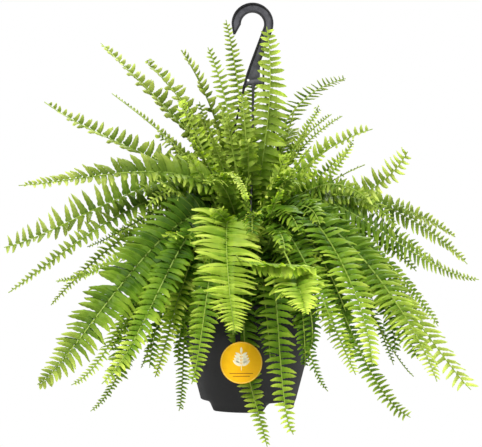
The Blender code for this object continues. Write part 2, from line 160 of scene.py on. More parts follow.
def pick_colour(tree, value, *stops):
    """The colour that a ramp with these (position, colour) stops has at a value."""
    node = add_node(tree, "ShaderNodeValToRGB", Fac=value)
    elements = node.color_ramp.elements
    while len(elements) > 1:
        elements.remove(elements[-1])
    elements[0].position, elements[0].color = stops[0][0], (*stops[0][1], 1.0)
    for position, colour in stops[1:]:
        elements.new(position).color = (*colour, 1.0)
    return node.outputs[0]


def new_group(name, given):
    """A node group and its inputs, coloured or plain as the usual values that are given."""
    group = bpy.data.node_groups.new(name, "ShaderNodeTree")
    for label, value in given.items():
        kind = "NodeSocketColor" if isinstance(value, tuple) else "NodeSocketFloat"
        group.interface.new_socket(label, in_out="INPUT", socket_type=kind).default_value = value
    return group, group.nodes.new("NodeGroupInput").outputs


def give_out(group, results):
    """Makes a group's outputs, coloured or plain as the values that they pass on."""
    for label, value in results.items():
        kind = "NodeSocketColor" if value.type == "RGBA" else "NodeSocketFloat"
        group.interface.new_socket(label, in_out="OUTPUT", socket_type=kind)
    end = group.nodes.new("NodeGroupOutput")
    for label, value in results.items():
        group.links.new(value, end.inputs[label])


def new_material(name):
    """An empty node material: itself, its tree and its Principled shader."""
    material = bpy.data.materials.new(name)
    material.use_nodes = True
    tree = material.node_tree
    return material, tree, tree.nodes["Principled BSDF"]


def dress(tree, shader, colour, roughness, height, strength, distance, shine=0.5):
    """Joins a colour, a roughness and a bump to a Principled shader, and gives the normal."""
    normal = add_node(tree, "ShaderNodeBump", Strength=strength, Distance=distance, Height=height).outputs[0]
    join(tree, colour, shader.inputs["Base Color"])
    join(tree, roughness, shader.inputs["Roughness"])
    join(tree, normal, shader.inputs["Normal"])
    shader.inputs["Specular IOR Level"].default_value = shine
    return normal


def make_moulded_group():
    """Moulded plastic in use: a fine grain, cloudy wear, and pale dust where it settles."""
    black, grey = (0.02, 0.02, 0.02, 1.0), (0.06, 0.06, 0.06, 1.0)
    usual = {"Colour": black, "Worn colour": grey, "Gloss": 0.4, "Dust": 0.2, "Grain": 0.2}
    group, given = new_group("Moulded plastic", usual)
    place = object_place(group)
    clouds = make_noise(group, place, 38.0, 5.0, 0.6)
    grain = make_noise(group, place, 2600.0, 2.0)
    stretched = add_node(group, "ShaderNodeMapping", Vector=place, Scale=(900.0, 900.0, 60.0)).outputs[0]
    scuffs = make_noise(group, stretched, 1.0, 3.0)
    dusty = calculate(group, "MULTIPLY", rescale(group, clouds, 0.42, 0.72), given["Dust"])
    faint = calculate(group, "MULTIPLY", rescale(group, scuffs, 0.62, 0.75), 0.35)
    worn = calculate(group, "MAXIMUM", dusty, faint)
    give_out(group, {
        "Colour": mix_colours(group, worn, given["Colour"], given["Worn colour"]),
        "Roughness": calculate(group, "MULTIPLY_ADD", worn, 0.45, given["Gloss"]),
        "Height": calculate(group, "MULTIPLY", grain, given["Grain"]),
    })
    return group


moulded_group = make_moulded_group()


def make_plastic(name, colour, worn, gloss, dust, grain, shine=0.5):
    """A black plastic finish from the moulded group, with its own amounts."""
    material, tree, shader = new_material(name)
    amounts = {"Gloss": gloss, "Dust": dust, "Grain": grain}
    colours = {"Colour": (*colour, 1.0), "Worn colour": (*worn, 1.0)}
    moulded = add_node(tree, "ShaderNodeGroup", {"node_tree": moulded_group}, **colours, **amounts).outputs
    dress(tree, shader, moulded["Colour"], moulded["Roughness"], moulded["Height"], 0.35, 0.0004, shine)
    return material


hook_plastic = make_plastic("hook plastic", (0.009, 0.009, 0.010), (0.035, 0.035, 0.040), 0.34, 0.35, 0.25)
web_plastic = make_plastic("hook web plastic", (0.026, 0.026, 0.032), (0.092, 0.092, 0.104), 0.42, 0.85, 0.45)


def make_hook():
    """The band's front outline, spun and drawn out, given its depth and then its recess."""
    centre = Vector((0.0, 0.0, -INNER_RADIUS))
    bm = bmesh.new()
    start_direction = Vector((cos(NECK_SLANT), 0.0, -sin(NECK_SLANT)))
    inner = bm.verts.new(centre + start_direction * INNER_RADIUS)
    outer = bm.verts.new(centre + start_direction * (INNER_RADIUS + BAND))
    start = bm.edges.new((inner, outer))
    loop = bmesh.ops.spin(
        bm,
        geom=[inner, outer, start],
        cent=centre,
        axis=(0.0, -1.0, 0.0),
        angle=pi + NECK_SLANT,
        steps=72,
    )
    far_edge = [item for item in loop["geom_last"] if isinstance(item, bmesh.types.BMEdge)]
    for point, tip_place in zip(draw_edges(bm, far_edge), TIP):
        point.co = Vector(tip_place)
    neck_points = draw_edges(bm, [start])
    down_neck = Vector((-sin(NECK_SLANT), 0.0, -cos(NECK_SLANT)))
    bmesh.ops.translate(bm, verts=neck_points, vec=NECK_LENGTH * down_neck)
    outline = (
        (HUB_RIGHT - 0.002, HUB_TOP),
        (HUB_RIGHT, HUB_TOP - 0.002),
        (HUB_RIGHT, HUB_BOTTOM),
        (HUB_RIGHT - 0.0045, HUB_BOTTOM),
        (HUB_RIGHT - 0.0070, HUB_BOTTOM + 0.0025),
        (HUB_LEFT + 0.0075, HUB_BOTTOM + 0.0025),
        (HUB_LEFT + 0.0050, HUB_BOTTOM),
        (HUB_LEFT, HUB_BOTTOM),
        (HUB_LEFT + 0.0050, HUB_BOTTOM + 0.0190),
    )
    hub_points = [bm.verts.new((x, 0.0, z)) for x, z in outline]
    bm.faces.new([neck_points[0], neck_points[1], *hub_points])
    front = list(bm.faces)
    bmesh.ops.recalc_face_normals(bm, faces=front)
    _, back = draw_out(bm, front, (0.0, HOOK_DEPTH, 0.0))
    bmesh.ops.translate(bm, verts=bm.verts, vec=(0.0, -HOOK_DEPTH / 2, 0.0))
    bmesh.ops.recalc_face_normals(bm, faces=bm.faces)
    for side in (front, back):
        for width, depth in ((FLANGE, 0.0), (RECESS_SLOPE, -RECESS)):
            bmesh.ops.inset_region(bm, faces=side, thickness=width, depth=depth, use_even_offset=True)
        for face in side:
            face.material_index = 1
    return bm


hook = add_piece("swan_neck_hook", make_hook(), [hook_plastic, web_plastic], radians(28))
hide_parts("hanger_hook")


def cut(obj, name, bm):
    """Cuts closed shapes out of a piece, with the cutter applied and removed."""
    mesh = bpy.data.meshes.new(name)
    bm.to_mesh(mesh)
    bm.free()
    cutter = bpy.data.objects.new(name, mesh)
    bpy.context.scene.collection.objects.link(cutter)
    modifier = obj.modifiers.new(name, "BOOLEAN")
    modifier.operation = "DIFFERENCE"
    modifier.solver = "EXACT"
    modifier.object = cutter
    bpy.context.view_layer.update()
    shown = obj.evaluated_get(bpy.context.evaluated_depsgraph_get())
    finished = bpy.data.meshes.new_from_object(shown)
    obj.modifiers.remove(modifier)
    obj.data = finished
    bpy.data.objects.remove(cutter)


def add_rod(bm, radius, length, place, segments, far_radius=None):
    """Adds a closed rod along its own Z, with its middle at a place."""
    bmesh.ops.create_cone(
        bm,
        cap_ends=True,
        segments=segments,
        radius1=radius,
        radius2=radius if far_radius is None else far_radius,
        depth=length,
        matrix=place,
    )


def round_edges(obj, width, sharpest):
    """Rounds a moulding's sharp edges with a live bevel."""
    bevel = obj.modifiers.new("Moulded edges", "BEVEL")
    bevel.width = width
    bevel.segments = 2
    bevel.limit_method = "ANGLE"
    bevel.angle_limit = radians(sharpest)


hook_holes = bmesh.new()
peg_place = Matrix.Translation(PEG_HOLE) @ Matrix.Rotation(pi / 2, 4, "X")
add_rod(hook_holes, PEG_RADIUS, 3 * HOOK_DEPTH, peg_place, 32)
slot_size = Matrix.Diagonal((SLOT_WIDTH, 3 * HOOK_DEPTH, SLOT_HEIGHT, 1.0))
slot_block = bmesh.ops.create_cube(hook_holes, size=1.0, matrix=Matrix.Translation(HUB_SLOT) @ slot_size)
slot_edges = {edge for point in slot_block["verts"] for edge in point.link_edges}
bmesh.ops.bevel(
    hook_holes,
    geom=[edge for edge in slot_edges if abs((edge.verts[0].co - edge.verts[1].co).y) > HOOK_DEPTH],
    offset=SLOT_CORNER,
    segments=4,
    profile=0.5,
    affect="EDGES",
    material=-1,
)
cut(hook, "hook_holes", hook_holes)
round_edges(hook, 0.0005, 40)


# ---------------------------------------------------------------------------
# The legs: four moulded cords of the same black plastic. Each leaves the hub as a
# flared root and ends in an inverted-U clip that is pushed down over the rim.
POT_X = -0.006
RIM_Z = -0.429
RIM_RADIUS = 0.1015
LIP_RADIUS = 0.1030
POT_WALL = 0.0016
LEG_RADIUS = 0.0017
LEG_STEPS = 60
ROOT_FLARE = 0.016
END_FLARE = 0.010
KNEE_Z = -0.170
PRONG = 0.0020
CLIP_WIDTH = 0.0080
CLIP_TOP = RIM_Z + 0.0034
CLIP_BOTTOM = RIM_Z - 0.0090
SLOT_TOP = RIM_Z + 0.0003
SLOT_INSIDE = RIM_RADIUS - POT_WALL - 0.0007
SLOT_OUTSIDE = LIP_RADIUS + 0.0004
LEGS = (
    ("left", pi, (-0.0117, 0.0, HUB_BOTTOM + 0.0030), (-0.0260, 0.0, KNEE_Z)),
    ("right", 0.0, (0.0155, 0.0, HUB_BOTTOM + 0.0030), (0.0300, 0.0, KNEE_Z)),
    ("front", -pi / 2, (0.0012, -0.0022, HUB_BOTTOM + 0.0040), (0.0, -0.018, KNEE_Z)),
    ("back", pi / 2, (0.0012, 0.0022, HUB_BOTTOM + 0.0040), (0.0, 0.018, KNEE_Z)),
)

leg_plastic = make_plastic(
    "leg plastic", (0.010, 0.010, 0.011), (0.050, 0.050, 0.054), 0.38, 0.30, 0.15, 0.35
)


def smooth_path(points, count):
    """Points at even parameters on the one smooth polynomial through the given points."""
    points = np.array([tuple(point) for point in points])
    steps = np.linalg.norm(np.diff(points, axis=0), axis=1)
    knots = np.concatenate([[0.0], np.cumsum(steps)]) / steps.sum()
    curves = np.polyfit(knots, points, len(points) - 1)
    where = np.linspace(0.0, 1.0, count)
    return np.stack([np.polyval(curves[:, axis], where) for axis in range(3)], axis=1)


def path_length(guide):
    """The distance from a guide's start to each of its points."""
    steps = np.linalg.norm(np.diff(guide, axis=0), axis=1)
    return np.concatenate([[0.0], np.cumsum(steps)])


def unit(rows):
    """Rows of vectors, each made 1 long."""
    return rows / np.linalg.norm(rows, axis=1)[:, None]


def read_points(mesh):
    """Every point of a mesh, one to a row."""
    flat = np.empty(len(mesh.vertices) * 3, dtype=np.float32)
    mesh.vertices.foreach_get("co", flat)
    return flat.reshape(-1, 3)


def write_points(mesh, points):
    """Gives a mesh's points their new places."""
    mesh.vertices.foreach_set("co", points.astype(np.float32).ravel())
    mesh.update()


def lay_along(mesh, guide, facing):
    """Bends a straight mesh: its X runs along the guide, and its Z looks the way of facing."""
    travelled = path_length(guide)
    along = unit(np.gradient(guide, axis=0))
    up = unit(facing - along * np.sum(facing * along, axis=1)[:, None])
    left = np.cross(up, along)
    flat = read_points(mesh).astype(float)
    beyond = flat[:, 0] - np.clip(flat[:, 0], 0.0, travelled[-1])

    def at_points(values):
        columns = [np.interp(flat[:, 0], travelled, values[:, axis]) for axis in range(3)]
        return np.stack(columns, axis=1)

    laid = at_points(guide) + at_points(along) * beyond[:, None]
    laid += at_points(left) * flat[:, 1:2] + at_points(up) * flat[:, 2:3]
    write_points(mesh, laid)


def add_stalk(bm, radius, tip_radius, length, segments, cuts):
    """Adds a rod along +X from the origin, with cuts along it so that it can bend."""
    middle = Matrix.Translation((length / 2, 0.0, 0.0)) @ Matrix.Rotation(pi / 2, 4, "Y")
    add_rod(bm, radius, length, middle, segments, tip_radius)
    sides = [edge for edge in bm.edges if abs(edge.verts[0].co.x - edge.verts[1].co.x) > length / 2]
    bmesh.ops.subdivide_edges(bm, edges=sides, cuts=cuts)


def add_clip(bm, angle):
    """Adds a leg's clip: a block, hollowed from below so that two prongs grip the rim."""
    outline = (
        (SLOT_INSIDE - PRONG, CLIP_BOTTOM),
        (SLOT_INSIDE, CLIP_BOTTOM),
        (SLOT_INSIDE, SLOT_TOP),
        (SLOT_OUTSIDE, SLOT_TOP),
        (SLOT_OUTSIDE, CLIP_BOTTOM),
        (SLOT_OUTSIDE + PRONG, CLIP_BOTTOM),
        (SLOT_OUTSIDE + PRONG, CLIP_TOP - 0.0010),
        (SLOT_OUTSIDE + 0.0006, CLIP_TOP),
        (SLOT_INSIDE - 0.0006, CLIP_TOP),
        (SLOT_INSIDE - PRONG, CLIP_TOP - 0.0010),
    )
    corners = [bm.verts.new((radius, -CLIP_WIDTH / 2, height)) for radius, height in outline]
    far_points, _ = draw_out(bm, [bm.faces.new(corners)], (0.0, CLIP_WIDTH, 0.0))
    clip_points = corners + far_points
    clip_faces = list({face for point in clip_points for face in point.link_faces})
    bmesh.ops.recalc_face_normals(bm, faces=clip_faces)
    place = Matrix.Translation((POT_X, 0.0, 0.0)) @ Matrix.Rotation(angle, 4, "Z")
    bmesh.ops.transform(bm, verts=clip_points, matrix=place)


for leg_name, angle, leg_top, leg_knee in LEGS:
    outward = Vector((cos(angle), sin(angle), 0.0))
    clip_middle = Vector((POT_X, 0.0, 0.0)) + outward * (SLOT_INSIDE + SLOT_OUTSIDE) / 2
    leg_end = clip_middle + Vector((0.0, 0.0, CLIP_TOP - 0.0012))
    leg_guide = smooth_path([leg_top, leg_knee, leg_end], LEG_STEPS)
    leg_length = path_length(leg_guide)[-1]
    bm = bmesh.new()
    add_stalk(bm, LEG_RADIUS, LEG_RADIUS, leg_length, 10, LEG_STEPS)
    for point in bm.verts:
        root = max(0.0, 1.0 - point.co.x / ROOT_FLARE)
        flare = root + 0.6 * max(0.0, 1.0 - (leg_length - point.co.x) / END_FLARE)
        point.co.y *= 1.0 + 0.9 * flare * flare
        point.co.z *= 1.0 + 0.5 * flare * flare
    straight = bpy.data.meshes.new("leg_" + leg_name)
    bm.to_mesh(straight)
    bm.free()
    lay_along(straight, leg_guide, np.array([tuple(outward)] * len(leg_guide)))
    bm = bmesh.new()
    bm.from_mesh(straight)
    add_clip(bm, angle)
    leg = add_piece("leg_cord_" + leg_name, bm, [leg_plastic])
    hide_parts("hanger_leg_" + leg_name)
    round_edges(leg, 0.0004, 50)


# ---------------------------------------------------------------------------
# The pot: a thin basket moulded in black plastic, with a near-upright collar, a rolled
# lip, a raised floor with drain holes, and a foot ring that four notches break up.
POT_HEIGHT = 0.158
FOOT_Z = RIM_Z - POT_HEIGHT
FLOOR_HEIGHT = 0.0145
FLOOR_TOP = FLOOR_HEIGHT + POT_WALL
LIP_HEIGHT = 0.0050
DRAIN_COUNT = 8
DRAIN_RADIUS = 0.0045
DRAIN_RING = 0.045
FOOT_THICKNESS = 0.0020
NOTCH_HEIGHT = 0.0135
NOTCH_SLOPE = 11.0
NOTCHES = (
    # the middle's bearing and the half width, in degrees
    (-52, 23.0),
    (-179, 42.0),
    (95, 15.0),
    (15, 28.0),
)
POT_OUTSIDE = (
    # radius and height
    (0.0680, 0.000),
    (0.0688, 0.004),
    (0.0697, 0.008),
    (0.0713, 0.0135),
    (0.0720, 0.0165),
    (0.0780, 0.039),
    (0.0840, 0.062),
    (0.0892, 0.079),
    (0.0930, 0.092),
    (0.0958, 0.102),
    (0.0978, 0.110),
    (0.0990, 0.117),
    (0.1000, 0.140),
    (0.1012, 0.1515),
)

pot_plastic = make_plastic(
    "pot plastic", (0.0052, 0.0052, 0.0056), (0.024, 0.023, 0.023), 0.40, 0.45, 0.5, 0.30
)


def turned(profile, steps):
    """Turns a profile of (radius, height) points once round +Z into a closed shell."""
    bm = bmesh.new()
    points = [bm.verts.new((radius, 0.0, height)) for radius, height in profile]
    edges = [bm.edges.new(pair) for pair in zip(points, points[1:])]
    bmesh.ops.spin(
        bm,
        geom=points + edges,
        cent=(0.0, 0.0, 0.0),
        axis=(0.0, 0.0, 1.0),
        angle=2 * pi,
        steps=steps,
        use_merge=True,
    )
    bmesh.ops.remove_doubles(bm, verts=bm.verts, dist=1e-6)
    bmesh.ops.recalc_face_normals(bm, faces=bm.faces)
    return bm


def make_pot():
    """The turned wall, its lip and floor, with the foot's bottom edge lifted at the notches."""
    inside = [(radius - POT_WALL, height) for radius, height in POT_OUTSIDE if height > FLOOR_TOP]
    foot = [(radius, height) for radius, height in POT_OUTSIDE if height < FLOOR_HEIGHT]
    foot_inside = [(radius - FOOT_THICKNESS, height) for radius, height in foot]
    profile = [
        (0.0, FLOOR_HEIGHT),
        (0.0300, FLOOR_HEIGHT),
        (0.0600, FLOOR_HEIGHT),
        *foot_inside[::-1],
        *POT_OUTSIDE,
        (0.1024, POT_HEIGHT - LIP_HEIGHT),
        (LIP_RADIUS, POT_HEIGHT - LIP_HEIGHT + 0.0007),
        (LIP_RADIUS, POT_HEIGHT - 0.0010),
        (LIP_RADIUS - 0.0008, POT_HEIGHT),
        (RIM_RADIUS - POT_WALL + 0.0006, POT_HEIGHT),
        (RIM_RADIUS - POT_WALL, POT_HEIGHT - 0.0008),
        *inside[::-1],
        (0.0690, FLOOR_TOP),
        (0.0300, FLOOR_TOP),
        (0.0, FLOOR_TOP),
    ]
    bm = turned(profile, 96)
    for point in bm.verts:
        # The foot ring's points below the notches' tops are raised, by a smooth step at each end.
        if point.co.z < 0.0125 and point.co.xy.length > 0.064:
            rise = 0.0
            for bearing, half_width in NOTCHES:
                notch_way = Vector((cos(radians(bearing)), sin(radians(bearing))))
                within = half_width - degrees(notch_way.angle(point.co.xy))
                rise = max(rise, min(1.0, within / NOTCH_SLOPE))
            rise = rise * rise * (3.0 - 2.0 * rise)
            point.co.z += (NOTCH_HEIGHT - point.co.z) * 0.93 * rise
    bmesh.ops.translate(bm, verts=bm.verts, vec=(POT_X, 0.0, FOOT_Z))
    return bm


basket = add_piece("basket", make_pot(), [pot_plastic], radians(32))
drains = bmesh.new()
for drain in range(DRAIN_COUNT):
    turn = Matrix.Rotation(radians(360 / DRAIN_COUNT * drain), 4, "Z")
    place = Matrix.Translation((POT_X, 0.0, FOOT_Z)) @ turn
    add_rod(drains, DRAIN_RADIUS, 0.010, place @ Matrix.Translation((DRAIN_RING, 0.0, FLOOR_HEIGHT)), 24)
cut(basket, "drains", drains)
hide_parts("pot")


# ---------------------------------------------------------------------------
# The care tag: a round card of printed plastic, on a strap that hooks over the rim.
# It is orange with a pale edge line, and carries a plain leaf sprig and two rules.
TAG_CENTRE = Vector((-0.0167, -0.1140, -0.5100))
TAG_RADIUS = 0.0298
TAG_THICKNESS = 0.0012
TAG_EDGE = 0.0003
FILM_THICKNESS = 0.00008
LINE_OUTSIDE = TAG_RADIUS - 0.0012
LINE_INSIDE = TAG_RADIUS - 0.0017
RULE_WIDTH = 0.0009
STRAP_X = -0.0215
STRAP_WIDTH = 0.0070
STRAP_THICKNESS = 0.0010
STRAP_ROUTE = (
    # Y and Z, from the card up and over the rim
    (-0.1135, -0.5000),
    (-0.1135, -0.4850),
    (-0.1110, -0.4650),
    (-0.1066, -0.4470),
    (-0.1037, -0.4340),
    (-0.1034, -0.4295),
    (-0.1022, -0.4272),
    (-0.1003, -0.4264),
    (-0.0980, -0.4272),
    (-0.0968, -0.4300),
    (-0.0956, -0.4435),
)


def make_ink(name, colour, deeper, roughness):
    """Printed plastic: an even colour with a faint press mottle and a light grain."""
    material, tree, shader = new_material(name)
    place = object_place(tree)
    printed = pick_colour(tree, make_noise(tree, place, 260.0, 4.0), (0.35, deeper), (0.65, colour))
    dress(tree, shader, printed, roughness, make_noise(tree, place, 3000.0, 1.0), 0.15, 0.0002, 0.2)
    return material


tag_orange = make_ink("tag orange", (1.000, 0.545, 0.006), (0.990, 0.510, 0.005), 0.45)
tag_cream = make_ink("tag cream", (0.950, 0.880, 0.660), (0.930, 0.850, 0.620), 0.42)
tag_black = make_ink("tag black", (0.014, 0.014, 0.015), (0.010, 0.010, 0.011), 0.50)
tag_gold = make_ink("tag gold", (0.970, 0.700, 0.220), (0.960, 0.670, 0.180), 0.45)
tag_brown = make_ink("tag brown", (0.330, 0.130, 0.010), (0.300, 0.110, 0.010), 0.45)

bm = bmesh.new()
bmesh.ops.create_circle(bm, cap_ends=True, segments=96, radius=TAG_RADIUS - TAG_EDGE)
draw_out(bm, list(bm.faces), (0.0, 0.0, TAG_THICKNESS))
bmesh.ops.translate(bm, verts=bm.verts, vec=(0.0, 0.0, -TAG_THICKNESS / 2))
bmesh.ops.recalc_face_normals(bm, faces=bm.faces)
card_edges = [edge for edge in bm.edges if len(edge.link_faces) == 2 and edge.calc_face_angle() > 1.0]
bmesh.ops.bevel(bm, geom=card_edges, offset=TAG_EDGE, segments=2, profile=0.5, affect="EDGES", material=-1)
upright = Matrix.Rotation(pi / 2, 4, "X")
bmesh.ops.transform(bm, verts=bm.verts, matrix=Matrix.Translation(TAG_CENTRE) @ upright)
rings = []
for index, (y, z) in enumerate(STRAP_ROUTE):
    before = Vector(STRAP_ROUTE[max(index - 1, 0)])
    after = Vector(STRAP_ROUTE[min(index + 1, len(STRAP_ROUTE) - 1)])
    heading = (after - before).normalized()
    out = Vector((-heading.y, heading.x)) * (STRAP_THICKNESS / 2)
    ring = []
    for side, face in ((-1, -1), (1, -1), (1, 1), (-1, 1)):
        ring.append(bm.verts.new((STRAP_X + side * STRAP_WIDTH / 2, y + face * out.x, z + face * out.y)))
    rings.append(ring)
strap_faces = [bm.faces.new(rings[0][::-1]), bm.faces.new(rings[-1])]
for near, far in zip(rings, rings[1:]):
    for corner in range(4):
        after = (corner + 1) % 4
        strap_faces.append(bm.faces.new((near[corner], near[after], far[after], far[corner])))
bmesh.ops.recalc_face_normals(bm, faces=strap_faces)
for face in strap_faces:
    face.material_index = 1
card_piece = add_piece("tag_card", bm, [tag_orange, tag_black])
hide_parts("care_tag")


def add_print(name, bm, material):
    """Sets flat shapes, drawn in the card's own plane, as a thin film of ink on its front."""
    draw_out(bm, list(bm.faces), (0.0, 0.0, FILM_THICKNESS))
    bmesh.ops.recalc_face_normals(bm, faces=bm.faces)
    front = Matrix.Translation((TAG_CENTRE.x, TAG_CENTRE.y - TAG_THICKNESS / 2, TAG_CENTRE.z))
    bmesh.ops.transform(bm, verts=bm.verts, matrix=front @ upright)
    add_piece(name, bm, [material])


def add_bar(bm, x_steps, y_steps, middle_y, width, height):
    """Adds a flat bar, cut into steps each way."""
    place = Matrix.Translation((0.0, middle_y, 0.0)) @ Matrix.Diagonal((width, height, 1.0, 1.0))
    bmesh.ops.create_grid(bm, x_segments=x_steps, y_segments=y_steps, size=0.5, matrix=place)


bm = bmesh.new()
bmesh.ops.create_circle(bm, cap_ends=False, segments=96, radius=LINE_OUTSIDE)
inner_points = draw_edges(bm, list(bm.edges))
bmesh.ops.scale(bm, verts=inner_points, vec=(LINE_INSIDE / LINE_OUTSIDE, LINE_INSIDE / LINE_OUTSIDE, 1.0))
add_print("tag_edge_line", bm, tag_gold)

bm = bmesh.new()
for rule_height, rule_half in ((-0.0150, 0.0165), (-0.0190, 0.0120)):
    add_bar(bm, 24, 1, rule_height, 2 * rule_half, RULE_WIDTH)
add_print("tag_rules", bm, tag_brown)

# The sprig: a stalk with a leaflet at its tip and four pairs down its sides.
bm = bmesh.new()
sprig = [(0.0, 0.0135, 90.0, 0.0085)]
for pair, height in enumerate((0.0095, 0.0050, 0.0005, -0.0040)):
    leaflet = 0.0090 + 0.0014 * pair
    sprig += [(0.0005, height, 32.0, leaflet), (-0.0005, height, 148.0, leaflet)]
for x, y, bearing, leaflet in sprig:
    made = bmesh.ops.create_circle(bm, cap_ends=True, segments=20, radius=0.5)
    for point in made["verts"]:
        point.co.y *= 0.42 * (1.0 - 0.9 * point.co.x * point.co.x) * (1.0 - 0.5 * point.co.x)
    place = Matrix.Translation((x, y, 0.0)) @ Matrix.Rotation(radians(bearing), 4, "Z")
    place = place @ Matrix.Diagonal((leaflet, leaflet, 1.0, 1.0)) @ Matrix.Translation((0.52, 0.0, 0.0))
    bmesh.ops.transform(bm, verts=made["verts"], matrix=place)
add_bar(bm, 1, 12, 0.0018, 0.0008, 0.0250)
add_print("tag_sprig", bm, tag_cream)


# ---------------------------------------------------------------------------
# The potting mix: dark moist peat and bark, filled to 15 mm below the rim, with
# crumbs of bark and white perlite on its surface.
SOIL_Z = RIM_Z - 0.015
SOIL_GAP = 0.0003
SOIL_FLOOR = FOOT_Z + FLOOR_TOP + SOIL_GAP


def make_soil_material(name, dark, light, roughness):
    """Loose damp matter: coarse and fine crumbs, with painted shade darkening the gaps where the bump sinks.
    """
    material, tree, shader = new_material(name)
    place = object_place(tree)
    crumbs = add_node(tree, "ShaderNodeTexVoronoi", Vector=place, Scale=240.0).outputs["Distance"]
    rough = calculate(tree, "MULTIPLY", crumbs, make_noise(tree, place, 700.0, 6.0))
    dress(tree, shader, pick_colour(tree, rough, (0.05, dark), (0.45, light)), roughness, rough, 0.9, 0.002)
    return material


peat = make_soil_material("peat", (0.012, 0.008, 0.005), (0.065, 0.042, 0.026), 0.95)
perlite = make_soil_material("perlite", (0.50, 0.48, 0.44), (0.80, 0.79, 0.76), 0.9)

soil_wall = [
    (radius - POT_WALL - SOIL_GAP, height + FOOT_Z)
    for radius, height in POT_OUTSIDE
    if FLOOR_TOP < height and height + FOOT_Z < SOIL_Z - 0.002
]
soil_top = [(radius / 1000, SOIL_Z - 0.001) for radius in range(96, 38, -3)]
bm = turned([(0.0, SOIL_FLOOR), *soil_wall, *soil_top, (0.0, SOIL_Z - 0.004)], 72)
soil_random = random.Random(11)
for point in bm.verts:
    if point.co.z > SOIL_Z - 0.0015 and point.co.xy.length < 0.095:
        point.co.z += soil_random.uniform(-0.0022, 0.0012)
bmesh.ops.translate(bm, verts=bm.verts, vec=(POT_X, 0.0, 0.0))
soil = add_piece("potting_soil", bm, [peat], radians(60))
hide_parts("potting_mix")

for crumb_name, crumb_material, crumb_count, crumb_size in (
    ("bark_crumbs", peat, 140, 0.0022),
    ("perlite_grains", perlite, 90, 0.0014),
):
    bm = bmesh.new()
    for _ in range(crumb_count):
        bearing = soil_random.uniform(0.0, 2 * pi)
        radius = soil_random.uniform(0.042, 0.094)
        size = crumb_size * soil_random.uniform(0.6, 1.3)
        place = Matrix.Translation((POT_X + radius * cos(bearing), radius * sin(bearing), SOIL_Z - 0.001))
        place = place @ Matrix.Rotation(soil_random.uniform(0.0, pi), 4, (0.4, 0.5, 0.77))
        made = bmesh.ops.create_icosphere(bm, subdivisions=1, radius=size)
        for point in made["verts"]:
            point.co *= soil_random.uniform(0.75, 1.15)
        stretch = Matrix.Diagonal((soil_random.uniform(0.8, 1.6), 1.0, 0.6, 1.0))
        bmesh.ops.transform(bm, verts=made["verts"], matrix=place @ stretch)
    add_piece(crumb_name, bm, [crumb_material], radians(25))


# ---------------------------------------------------------------------------
# The crown: the matted dome of rhizomes, clad in brown scales, with the stubs of old
# stipes. Every frond grows from it.
CROWN_RADIUS = 0.045
CROWN_CENTRE = Vector((POT_X, 0.0, SOIL_Z - 0.021))
CROWN_BASE = -0.018
CROWN_STEPS = 24
STUB_COUNT = 70
STUB_RADIUS = 0.0019
STUB_END_RADIUS = 0.0012

rhizome, crown_tree, crown_shader = new_material("rhizome")
crown_place = object_place(crown_tree)
scales = add_node(crown_tree, "ShaderNodeTexVoronoi", Vector=crown_place, Scale=420.0).outputs["Distance"]
brown = pick_colour(crown_tree, scales, (0.0, (0.030, 0.018, 0.008)), (0.6, (0.120, 0.070, 0.025)))
green = rescale(crown_tree, make_noise(crown_tree, crown_place, 90.0, 3.0), 0.52, 0.66)
crown_colour = mix_colours(crown_tree, green, brown, (0.075, 0.110, 0.020, 1.0))
dress(crown_tree, crown_shader, crown_colour, 0.85, scales, 0.9, 0.0015)

crown_profile = [(0.0, CROWN_RADIUS)]
base_tilt = acos(CROWN_BASE / CROWN_RADIUS)
for step in range(1, CROWN_STEPS + 1):
    tilt = base_tilt * step / CROWN_STEPS
    crown_profile.append((CROWN_RADIUS * sin(tilt), CROWN_RADIUS * cos(tilt)))
crown_profile.append((0.0, CROWN_BASE))
bm = turned(crown_profile, 64)
crown_random = random.Random(23)
for point in bm.verts:
    if point.co.z > CROWN_BASE + 0.002:
        point.co *= crown_random.uniform(0.955, 1.0)
for _ in range(STUB_COUNT):
    bearing = crown_random.uniform(0.0, 2 * pi)
    tilt = crown_random.uniform(0.05, 1.15)
    heading = Vector((sin(tilt) * cos(bearing), sin(tilt) * sin(bearing), cos(tilt)))
    stub = crown_random.uniform(0.006, 0.016)
    place = Matrix.Translation(heading * (CROWN_RADIUS - 0.002 + stub / 2))
    place = place @ heading.to_track_quat("Z", "Y").to_matrix().to_4x4()
    add_rod(bm, STUB_RADIUS, stub, place, 7, STUB_END_RADIUS)
bmesh.ops.translate(bm, verts=bm.verts, vec=CROWN_CENTRE)
crown = add_piece("rhizome_crown", bm, [rhizome], radians(60))
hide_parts("crown")


